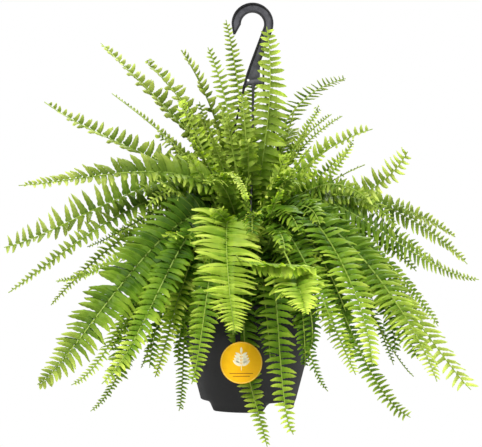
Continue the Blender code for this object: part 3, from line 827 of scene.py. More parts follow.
# ---------------------------------------------------------------------------
# The fronds: each leaf is a wiry stalk with a row of narrow, scalloped pinnae down
# both sides. They are pressed flat first, and then laid along the leaf's own curve.
PINNA_STEPS = 9
PINNA_WIDTH = 0.26
PINNA_ARCH = 0.075
PINNA_THICKNESS = 0.011
RUFFLE_WAVES = 1.7
PINNA_FORMS = {
    # Each form is where its margins are measured, its upper and its lower half width
    # there, and then (sag, sickle, ruffle, twist) for each of its varieties.
    "blade": (
        (0.0, 0.05, 0.12, 0.25, 0.45, 0.65, 0.82, 0.93, 1.0),
        (0.62, 0.72, 0.63, 0.53, 0.50, 0.43, 0.32, 0.19, 0.02),
        (0.50, 0.52, 0.51, 0.51, 0.49, 0.42, 0.31, 0.18, 0.02),
        (
            (0.06, 0.12, 0.030, 0.00),
            (0.16, 0.06, 0.045, 0.35),
            (0.00, 0.18, 0.035, -0.30),
            (0.30, 0.10, 0.050, 0.50),
            (0.10, 0.02, 0.060, -0.55),
            (-0.10, 0.16, 0.040, 0.20),
            (0.22, -0.02, 0.070, 0.10),
        ),
    ),
    "spear": (
        (0.0, 0.05, 0.12, 0.25, 0.45, 0.65, 0.82, 0.93, 1.0),
        (0.60, 0.70, 0.60, 0.50, 0.44, 0.36, 0.24, 0.13, 0.01),
        (0.52, 0.55, 0.52, 0.46, 0.41, 0.33, 0.22, 0.12, 0.01),
        (
            (0.03, 0.04, 0.020, 0.00),
            (0.08, 0.08, 0.030, 0.15),
            (0.00, 0.02, 0.030, -0.15),
            (0.12, 0.10, 0.020, 0.10),
        ),
    ),
    "curly": (
        (0.0, 0.05, 0.15, 0.30, 0.50, 0.70, 0.85, 0.95, 1.0),
        (0.58, 0.68, 0.62, 0.57, 0.56, 0.51, 0.39, 0.23, 0.03),
        (0.48, 0.52, 0.54, 0.55, 0.54, 0.49, 0.37, 0.21, 0.03),
        (
            (0.25, 0.10, 0.090, 0.70),
            (0.10, 0.20, 0.110, -0.80),
            (0.45, 0.05, 0.080, 0.30),
            (-0.12, 0.15, 0.120, -0.40),
            (0.15, -0.05, 0.100, 1.10),
            (0.55, 0.12, 0.060, -0.20),
        ),
    ),
}


def make_pinna(stations, upper_margin, lower_margin, sag, sickle, ruffle, twist, mirror):
    """One pinna, 1 long along +X: two sheets that meet at the margin, thickest at the midrib."""
    bm = bmesh.new()
    bmesh.ops.create_grid(bm, x_segments=PINNA_STEPS, y_segments=2, size=0.5)
    under = bm.faces.layers.float.new("under")
    uv = bm.loops.layers.uv.new("UVMap")
    copied = bmesh.ops.duplicate(bm, geom=list(bm.faces))
    lower = [item for item in copied["geom"] if isinstance(item, bmesh.types.BMFace)]
    lower_points = {point for face in lower for point in face.verts}
    for face in lower:
        face[under] = 1.0
    for face in bm.faces:
        for corner in face.loops:
            corner[uv].uv = (corner.vert.co.x + 0.5, corner.vert.co.y + 0.5)
    bmesh.ops.reverse_faces(bm, faces=lower)
    for point in bm.verts:
        share = point.co.x + 0.5
        side = round(2 * point.co.y)
        station = round(share * PINNA_STEPS)
        margin = upper_margin if side > 0 else lower_margin
        half = PINNA_WIDTH * float(np.interp(share, stations, margin))
        # The scallops: each second station stands out, and those between are drawn in.
        half *= 1.0 + (0.10 if station % 2 else -0.08) * (0.0 < share < 1.0)
        thick = PINNA_THICKNESS * sin(pi * share) if side == 0 else 0.0
        y = side * half
        z = -thick if point in lower_points else thick
        z += PINNA_ARCH * sin(pi * share) ** 0.6 * (1 - abs(side))
        z += side * ruffle * sin(2 * pi * RUFFLE_WAVES * share + 0.9 * side) * share
        turned_y = y * cos(twist * share) - z * sin(twist * share)
        turned_z = y * sin(twist * share) + z * cos(twist * share)
        point.co = Vector((share, turned_y + sickle * share * share, turned_z - sag * share * share))
    bmesh.ops.remove_doubles(bm, verts=bm.verts, dist=1e-5)
    if mirror:
        bmesh.ops.scale(bm, verts=bm.verts, vec=(1.0, -1.0, 1.0))
        bmesh.ops.reverse_faces(bm, faces=bm.faces)
    mesh = bpy.data.meshes.new("pinna")
    bm.to_mesh(mesh)
    bm.free()
    return mesh


pinnae = {
    (form, side): [make_pinna(*margins, *variety, mirror=side > 0) for variety in varieties]
    for form, (*margins, varieties) in PINNA_FORMS.items()
    for side in (-1, 1)
}


def make_leaf_group():
    """Living fern tissue: tone picks the green, veins and a cell mottle vary it."""
    group, given = new_group("Fern tissue", {"Vein depth": 1.0})
    tone = add_node(group, "ShaderNodeAttribute", {"attribute_name": "tone"}).outputs["Fac"]
    under = add_node(group, "ShaderNodeAttribute", {"attribute_name": "under"}).outputs["Fac"]
    place = object_place(group)
    shifted = calculate(group, "MULTIPLY_ADD", make_noise(group, place, 45.0, 3.0), 0.34, tone)
    steadied = calculate(group, "SUBTRACT", shifted, 0.17)
    greens = pick_colour(
        group,
        steadied,
        (0.00, (0.018, 0.062, 0.004)),
        (0.25, (0.060, 0.158, 0.006)),
        (0.50, (0.185, 0.330, 0.018)),
        (0.75, (0.410, 0.530, 0.056)),
        (1.00, (0.720, 0.770, 0.160)),
    )
    olives = pick_colour(
        group,
        steadied,
        (0.00, (0.024, 0.056, 0.005)),
        (0.25, (0.078, 0.142, 0.013)),
        (0.50, (0.212, 0.290, 0.040)),
        (0.75, (0.420, 0.475, 0.105)),
        (1.00, (0.690, 0.740, 0.250)),
    )
    # Away from the plant's middle the light is strong, and the green turns to olive.
    inputs = {"Vector": place, "Location": CROWN_CENTRE, "Scale": (1.0, 2.0, 1.0)}
    offset = add_node(group, "ShaderNodeMapping", {"vector_type": "TEXTURE"}, **inputs).outputs[0]
    distance = add_node(group, "ShaderNodeVectorMath", {"operation": "LENGTH"}, i0=offset).outputs["Value"]
    tissue = mix_colours(group, rescale(group, distance, 0.18, 0.30), greens, olives)
    # The pinna's own UV map runs along it and across it: its midrib, and its combed side veins.
    flat = add_node(group, "ShaderNodeTexCoord").outputs["UV"]
    along, across = add_node(group, "ShaderNodeSeparateXYZ", Vector=flat).outputs[:2]
    outward = calculate(group, "ABSOLUTE", calculate(group, "SUBTRACT", across, 0.5))
    slanted = calculate(group, "MULTIPLY_ADD", outward, -0.22, along)
    combed = calculate(group, "SINE", calculate(group, "MULTIPLY", slanted, 120.0))
    veins = rescale(group, combed, 0.55, 1.0)
    midrib = rescale(group, outward, 0.07, 0.02)
    pale = calculate(group, "MULTIPLY", veins, 0.16)
    ribbed = calculate(group, "MULTIPLY", midrib, 0.22)
    veined = mix_colours(group, calculate(group, "MAXIMUM", pale, ribbed), tissue, (0.40, 0.50, 0.07, 1.0))
    cells = rescale(group, make_noise(group, place, 1400.0, 2.0), 0.0, 1.0, 0.86, 1.14)
    scaled = add_node(group, "ShaderNodeVectorMath", {"operation": "SCALE"}, i0=veined, Scale=cells)
    under_share = calculate(group, "MULTIPLY", under, 0.45)
    raised = calculate(group, "SUBTRACT", veins, midrib)
    give_out(group, {
        "Colour": mix_colours(group, under_share, scaled.outputs[0], (0.22, 0.33, 0.045, 1.0)),
        "Light through": mix_colours(group, 1.0, veined, (1.55, 1.70, 0.50, 1.0), "MULTIPLY"),
        "Roughness": calculate(group, "MULTIPLY_ADD", under, 0.20, 0.46),
        "Height": calculate(group, "MULTIPLY", raised, given[0]),
    })
    return group


# A thin leaf: a soft gloss in front, and green light from what shines on its back.
leaf_material, leaf_tree, leaf_shader = new_material("fern leaf")
tissue = add_node(leaf_tree, "ShaderNodeGroup", {"node_tree": make_leaf_group()}).outputs
leaf_normal = dress(
    leaf_tree, leaf_shader, tissue["Colour"], tissue["Roughness"], tissue["Height"], 0.35, 0.0003, 0.14
)
glow = add_node(leaf_tree, "ShaderNodeBsdfTranslucent", Color=tissue["Light through"], Normal=leaf_normal)
lit = add_node(leaf_tree, "ShaderNodeMixShader", i0=0.42, i1=leaf_shader.outputs[0], i2=glow.outputs[0])
leaf_tree.links.new(lit.outputs[0], leaf_tree.nodes["Material Output"].inputs["Surface"])

# The rachis: brown and scaly at its foot, then green, and pale towards the tip.
stalk_material, stalk_tree, stalk_shader = new_material("fern stalk")
stalk_tone = add_node(stalk_tree, "ShaderNodeAttribute", {"attribute_name": "tone"}).outputs["Fac"]
stalk_colour = pick_colour(
    stalk_tree,
    stalk_tone,
    (0.0, (0.085, 0.055, 0.020)),
    (0.2, (0.100, 0.110, 0.022)),
    (0.5, (0.130, 0.220, 0.028)),
    (1.0, (0.300, 0.410, 0.055)),
)
flecks = make_noise(stalk_tree, object_place(stalk_tree), 900.0, 3.0)
shade = rescale(stalk_tree, flecks, 0.0, 1.0, 0.7, 1.25)
flecked = add_node(stalk_tree, "ShaderNodeVectorMath", {"operation": "SCALE"}, i0=stalk_colour, Scale=shade)
dress(stalk_tree, stalk_shader, flecked.outputs[0], 0.5, flecks, 0.4, 0.0003, 0.2)

# Each leaf has the form of its pinnae; then their greatest length, gap and breadth in
# millimetres; how far the leaf rolls its face to the front and folds its sides up, and how
# far its pinnae swing from the stalk, on average and more on its one side, in degrees; how
# much they sag; the tone at its base and tip, how blunt it ends, how late it tapers and how
# much of it is bare; and its points in millimetres. The last three before the points have
# usual values, which a row can leave out.
LONG_USUAL = (0.15, 2.2, 0.16)
SMALL_USUAL = (0.15, 2.2, 0.12)
FRONDS = (
    # name, form, (reach, gap, breadth), (roll, fold, swing, skew, sag),
    # (tone_base, tone_tip, blunt, taper, bare), and the points
    ("left_01", "blade", (44, 9.6, 10.8), (54, 6, 84, 2, 0.08), (0.12, 0.74, 0.08, 3.2),
     (-72, -62, -300), (-137, -119, -345), (-290, -200, -530)),
    ("left_02", "spear", (32, 11.4, 9.2), (50, 15, 90, 0, 0), (0.36, 0.66, 0.06, 1.6),
     (-100, -16, -270), (-225, -30, -320), (-355, -50, -415)),
    ("left_03", "spear", (48, 13.8, 11), (54, 22, 95, -8, 0), (0.44, 0.66, 0.32, 1.8, 0.24),
     (-95, 15, -250), (-240, 12, -295), (-370, 0, -350)),
    ("left_04", "blade", (36, 10.8, 9.6), (44, 28, 84, 18, 0), (0.44, 0.76, 0.05, 1.7, 0.3),
     (-98, -52, -245), (-205, -60, -243), (-335, -80, -260)),
    ("left_05", "blade", (38, 13.2, 10.8), (28, 28, 94, -10, 0), (0.36, 0.68, 0.12, 1.5),
     (-88, 36, -256), (-185, 42, -200), (-315, 34, -130)),
    ("left_06", "blade", (18, 8.5, 7), (32, 25, 90, 0, 0), (0.5, 0.72, 0.12, 1.2),
     (-60, -22, -262), (-130, -32, -185), (-205, -45, -125)),
    ("left_07", "blade", (32, 12, 10.4), (26, 22, 90, 0, 0), (0.48, 0.74, 0.2, 1.8),
     (-55, 14, -235), (-140, 22, -130), (-230, 40, -40)),
    ("left_08", "blade", (34, 11.8, 10.6), (16, 22, 92, 0, 0), (0.5, 0.74, 0.22, 1.8),
     (-45, 38, -250), (-110, 55, -125), (-175, 70, -55)),
    ("left_09", "blade", (29, 9.6, 8.6), (44, 26, 80, 0, 0), (0.5, 0.74, 0.25, 1.8),
     (-35, -12, -235), (-65, -20, -135), (-105, -30, -60)),
    ("left_10", "blade", (27, 9.4, 6), (0, 10, 86, 0, 0.15), (0.52, 0.74, 0.2, 2),
     (-25, -40, -235), (-40, -50, -135), (-65, -60, -60)),
    ("left_11", "blade", (25, 9.4, 6), (30, 10, 86, 0, 0.2), (0.48, 0.68, 0.15, 2),
     (-10, 25, -250), (-20, 35, -120), (-40, 40, -5)),
    ("left_12", "blade", (30, 8.6, 7.4), (15, 12, 96, 0, 0.05), (0.38, 0.72),
     (-45, -100, -310), (-65, -145, -420), (-85, -155, -535)),
    ("left_13", "blade", (21, 7.2, 4.8), (30, 10, 96, 0, 0.02), (0.42, 0.6, 0.15, 2.4),
     (-80, -40, -315), (-95, -80, -410), (-105, -95, -580)),
    ("left_14", "blade", (23, 7.6, 6.2), (30, 12, 90, 0, 0.1), (0.6, 1),
     (-70, -78, -335), (-105, -130, -420), (-135, -160, -525)),
    ("left_15", "blade", (25, 8.4, 7.6), (45, 12, 80, 4, 0.08), (0.26, 0.94, 0.15, 2.2, 0.42),
     (-76, -100, -318), (-145, -190, -440), (-200, -235, -525)),
    ("left_16", "blade", (18, 7.2, 5), (50, 15, 90, 16, 0.05), (0.4, 0.7, 0.12, 2),
     (-105, -45, -350), (-175, -80, -490), (-230, -100, -580)),
    ("left_17", "blade", (23, 8, 5.2), (55, 12, 92, 18, 0.1), (0.6, 0.8, 0.12, 2.4),
     (-115, 16, -330), (-195, 10, -460), (-270, 0, -555)),
    ("left_18", "blade", (25, 8, 5.4), (55, 10, 92, 18, 0.1), (0.62, 0.84, 0.12, 2.4),
     (-100, 50, -290), (-210, 60, -345), (-310, 70, -440)),
    ("right_01", "blade", (47, 12, 10.4), (-8, 4, 88, 4, 0.5), (0.52, 0.78, 0.16, 1.15),
     (10, -30, -250), (25, -50, -120), (20, -60, -30)),
    ("right_02", "blade", (31, 9.6, 4.4), (66, 10, 80, 30, 0), (0.38, 0.58, 0.12, 2),
     (15, 20, -255), (65, 50, -140), (145, 80, -90)),
    ("right_03", "blade", (14, 6.5, 4.5), (50, 30, 92, 0, 0), (0.5, 0.65, 0.15, 2),
     (25, -18, -280), (75, -28, -190), (115, -40, -155)),
    ("right_04", "blade", (27, 11, 8.5), (60, 30, 96, 0, 0), (0.54, 0.82, 0.25, 1.8),
     (40, -45, -275), (105, -70, -210), (170, -90, -180)),
    ("right_05", "blade", (40, 10.4, 8.4), (52, 14, 94, 0, 0), (0.52, 0.88, 0.3, 1.8),
     (80, -15, -315), (180, -35, -260), (225, -50, -210)),
    ("right_06", "blade", (27, 9.4, 7.6), (50, 10, 85, 20, 0), (0.24, 0.72, 0.12, 1.8),
     (88, 32, -280), (210, 45, -285), (310, 50, -335)),
    ("right_07", "blade", (30, 9.6, 6.8), (60, -10, 82, 20, 0.05), (0.22, 0.74, 0.12, 1.8),
     (85, 14, -272), (240, 12, -310), (320, 0, -375)),
    ("right_08", "spear", (40, 9.6, 7), (58, -14, 93, 30, 0), (0.28, 0.7, 0.05, 1.15),
     (95, -42, -280), (230, -60, -355), (325, -70, -395)),
    ("right_09", "blade", (26, 10.6, 6.4), (58, 12, 78, -22, 0.1), (0.42, 1, 0.6, 2.4, 0.42),
     (74, -50, -300), (211, -100, -424), (303, -130, -546)),
    ("right_10", "blade", (36, 9, 6.4), (55, 10, 88, -26, 0.1), (0.1, 1, 0.12, 2.4),
     (65, -70, -300), (195, -140, -420), (250, -170, -530)),
    ("right_11", "blade", (19, 7.5, 5.5), (45, 22, 92, -10, 0.05), (0.28, 0.72, 0.4),
     (66, -52, -340), (140, -132, -473), (215, -160, -580)),
    ("right_12", "blade", (18, 8, 4.8), (55, 12, 90, -16, 0.1), (0.24, 0.52, 0.12, 2.4),
     (85, 16, -335), (180, 12, -450), (210, 0, -525)),
    ("right_13", "blade", (27, 7.4, 5.2), (25, 10, 92, -6, 0.1), (0.2, 1),
     (33, -108, -312), (105, -190, -445), (135, -220, -515)),
    ("right_14", "blade", (35, 9.2, 8.8), (22, 14, 96, -12, 0.1), (0.14, 0.94, 0.15, 2.4),
     (55, -100, -290), (130, -210, -395), (155, -240, -500)),
    ("right_15", "blade", (16, 7, 4.6), (20, 15, 92, 0, 0.05), (0.24, 0.56, 0.12, 2.4),
     (40, -78, -365), (70, -105, -460), (105, -115, -550)),
    ("right_16", "blade", (27, 9.8, 7.2), (8, 6, 96, -8, 0.05), (0.22, 0.92, 0.15, 2.4),
     (24, -90, -368), (35, -138, -470), (55, -150, -605)),
    ("front_01", "blade", (32, 9.2, 7.8), (0, -14, 96, -14, 0.05), (0.2, 0.9, 0.12, 1.7),
     (-14, -86, -370), (-14, -109, -440), (-8, -104, -520), (20, -104, -630)),
    ("front_02", "spear", (50, 5.6, 6.8), (15, 6, 90, -11, 0.05), (0.64, 0.9, 0.1, 3.2, 0.25),
     (-36, -118, -313), (-35, -200, -375), (-25, -230, -458)),
    ("front_03", "blade", (47, 5.2, 7.6), (36, 10, 89, -27, 0.05), (0.66, 1, 0.05, 1.1, 0.76),
     (19, -112, -330), (47, -220, -366), (66, -300, -428)),
    ("front_04", "curly", (8, 5, 6), (10, 20, 84, 0, 0.1), (0.8, 0.92, 0.4, 2),
     (-24, -36, -335), (-44, -95, -255), (-32, -150, -246), (-6, -200, -300)),
    ("back_01", "blade", (30, 10, 7), (0, 12, 88, 0, 0.05), (0.42, 0.62, 0.15, 2),
     (-22, 68, -240), (-38, 135, -165), (-45, 190, -130)),
    ("back_02", "blade", (32, 10, 7), (0, 12, 88, 0, 0.05), (0.4, 0.62, 0.15, 2),
     (30, 55, -250), (55, 130, -180), (70, 200, -160)),
    ("back_03", "blade", (36, 10.5, 8), (10, 10, 88, 0, 0.1), (0.3, 0.58),
     (-55, 95, -255), (-110, 190, -230), (-140, 280, -270)),
    ("back_04", "blade", (33, 10.5, 8), (10, 10, 88, 0, 0.1), (0.34, 0.62),
     (60, 90, -265), (100, 190, -250), (130, 290, -300)),
    ("back_05", "blade", (33, 10.5, 8), (0, 10, 88, 0, 0.1), (0.32, 0.62),
     (16, 95, -265), (18, 210, -240), (15, 310, -300)),
    ("back_06", "blade", (38, 10.5, 8.5), (0, 8, 88, 0, 0.15), (0.34, 0.74),
     (-15, 110, -310), (-20, 210, -380), (-20, 240, -520)),
    ("back_07", "blade", (36, 10, 8), (10, 8, 88, 0, 0.15), (0.3, 0.68),
     (-60, 100, -310), (-110, 190, -380), (-140, 220, -480)),
    ("back_08", "blade", (36, 10, 8), (10, 8, 88, 0, 0.15), (0.38, 0.8),
     (45, 100, -315), (100, 190, -380), (130, 220, -500)),
    ("back_09", "blade", (34, 10, 7.5), (20, 10, 88, 0, 0.1), (0.28, 0.62),
     (-95, 75, -310), (-170, 140, -340), (-220, 190, -430)),
    ("back_10", "blade", (34, 10, 7.5), (20, 10, 88, 0, 0.1), (0.34, 0.68),
     (85, 65, -300), (170, 130, -350), (230, 170, -450)),
)
ROLLED_TIPS = ("leaf_left_08", "leaf_front_04", "leaf_spur_04", "leaf_spur_05")
ROLLED_STEPS = 10
GUIDE_STEPS = 161
STALK_CUTS = 36
STALK_TIP_RADIUS = 0.0007
LAST_PINNA = 0.985
FOOT_FULLNESS = 0.62
FULL_REACH = 1.05
FOOT_BREADTH = 1.28
BREADTH_LOSS = 0.56
FORWARD_LEAN = 12
PINNA_TILT = 12
PAINTED_CROWN_SHADE = 0.34
PAINTED_SHADE_LENGTH = 0.42
PINNA_SHADE_TO_TIP = 0.42


def roll_tip(guide, across, turn):
    """Turns each of a guide's last few points further in towards the leaf's face."""
    ahead = Vector(guide[-ROLLED_STEPS] - guide[-ROLLED_STEPS - 1])
    stride = ahead.length
    ahead.normalize()
    sideways = (across - ahead * across.dot(ahead)).normalized()
    face = sideways.cross(ahead) * cos(turn) + sideways * sin(turn)
    axis = ahead.cross(face)
    place = Vector(guide[-ROLLED_STEPS])
    for index in range(1, ROLLED_STEPS):
        ahead = Matrix.Rotation(radians(16 + 3.0 * index), 3, axis) @ ahead
        place = place + ahead * stride
        guide[index - ROLLED_STEPS] = place


def make_frond(name, form, pinna_size, pose, finish, points, usual=LONG_USUAL, unruly=1.2):
    """One leaf: stalk and pinnae pressed flat along +X, and then laid along its curve."""
    chance = random.Random(name)
    points = [Vector(point) / 1000 for point in points]
    reach, gap, breadth = (size / 1000 for size in pinna_size)
    roll, fold, swing, skew, sag = pose
    tone_base, tone_tip, blunt, taper, bare = (*finish, *usual[len(finish) - 2:])
    radial = (points[0] - CROWN_CENTRE).normalized()
    start = CROWN_CENTRE + radial * (CROWN_RADIUS - 0.002)
    guide = smooth_path([start, *points], GUIDE_STEPS)
    length = path_length(guide)[-1]
    outward = points[-1] - start
    outward.z = 0.0
    outward.normalize()
    across = outward.cross(Vector((0.0, 0.0, 1.0)))
    turn = radians(roll if outward.x > 0 else -roll)
    if name in ROLLED_TIPS or name.startswith("leaf_inner"):
        roll_tip(guide, across, turn)
    bm = bmesh.new()
    tone = bm.verts.layers.float.new("tone")
    bm.faces.layers.float.new("under")
    bm.loops.layers.uv.new("UVMap")
    stalk_radius = 0.0013 + 0.0012 * min(length, 0.4)
    add_stalk(bm, stalk_radius, STALK_TIP_RADIUS, length, 6, STALK_CUTS)
    for point in bm.verts:
        point[tone] = min(1.0, point.co.x / length * 1.3)
    for face in bm.faces:
        face.material_index = 1

    at = length * bare
    blade = length - at
    wave = chance.uniform(0.0, 2 * pi)
    while True:
        share = (at - length * bare) / blade
        if share > LAST_PINNA:
            break
        # The pinnae soon reach their full size, shorten towards the tip, and then stand closer.
        tapered = blunt + (1.0 - blunt) * (1.0 - share ** taper) ** 0.8
        fullness = min(1.0, FOOT_FULLNESS + 2.0 * share) * tapered
        spacing = gap * (0.45 + 0.55 * min(1.0, fullness * 1.3))
        for side in (-1, 1):
            size = FULL_REACH * reach * fullness * chance.uniform(0.90, 1.08)
            slimmed = FOOT_BREADTH - BREADTH_LOSS * share
            width = breadth * slimmed * spacing / gap * chance.uniform(0.90, 1.10)
            width = min(width, size * 0.60)
            first = len(bm.verts)
            bm.from_mesh(chance.choice(pinnae[form, side]))
            bm.verts.ensure_lookup_table()
            bm.verts.index_update()
            made = bm.verts[first:]
            pinna_shares = [point.co.x for point in made]
            # Swung from the stalk more or less evenly, folded up with the leaf, and tilted a little.
            strayed = 4.0 * sin(9.0 * share + wave) + chance.uniform(-7, 7)
            heading = radians(swing + side * skew - FORWARD_LEAN * share ** 2.4 + unruly * strayed)
            place = Matrix.Translation((at + spacing * 0.25 * side, side * 0.0006, 0.0003))
            place = place @ Matrix.Rotation(radians(side * (fold + unruly * chance.uniform(-8, 8))), 4, "X")
            place = place @ Matrix.Rotation(side * heading, 4, "Z")
            tilt = radians(side * -PINNA_TILT + unruly * chance.uniform(-11, 11))
            place = place @ Matrix.Rotation(tilt, 4, "X")
            place = place @ Matrix.Diagonal((size, width / PINNA_WIDTH, size, 1.0))
            bmesh.ops.transform(bm, verts=made, matrix=place)
            pinna_tone = tone_base + (tone_tip - tone_base) * share ** 1.4
            # Painted shade: the pinnae near the crown are darkened for the deep shade in the plant's middle.
            pinna_tone -= PAINTED_CROWN_SHADE * max(0.0, 1.0 - at / (PAINTED_SHADE_LENGTH * length))
            pinna_tone += chance.uniform(-0.08, 0.08) * (1.0 + unruly / 2)
            # Each pinna is darker by the stalk, as painted shade where the bases crowd, and paler towards its
            # tip.
            for point, pinna_share in zip(made, pinna_shares):
                point[tone] = pinna_tone + PINNA_SHADE_TO_TIP * (pinna_share - 0.45)
        at += spacing

    obj = add_piece(name, bm, [leaf_material, stalk_material], radians(50))
    along = unit(np.gradient(guide, axis=0))
    side_way = unit(np.array(across) - along * (along @ np.array(across))[:, None])
    up = np.cross(side_way, along)
    waver = np.radians(chance.uniform(4, 10))
    waver = waver * np.sin(np.linspace(0, chance.uniform(3, 7), GUIDE_STEPS) + chance.uniform(0, 6))
    facing = up * np.cos(turn + waver)[:, None] + side_way * np.sin(turn + waver)[:, None]
    # The sag pulls each pinna's outer part straight down once the leaf is laid.
    spread = np.abs(read_points(obj.data)[:, 1]) / reach
    lay_along(obj.data, guide, facing)
    laid = read_points(obj.data)
    laid[:, 2] -= sag * reach * spread ** 2
    write_points(obj.data, laid)
    return obj


for leaf_name, form, pinna_size, pose, finish, *points in FRONDS:
    leaf = make_frond("leaf_" + leaf_name, form, pinna_size, pose, finish, points)
    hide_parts("frond_" + leaf_name)


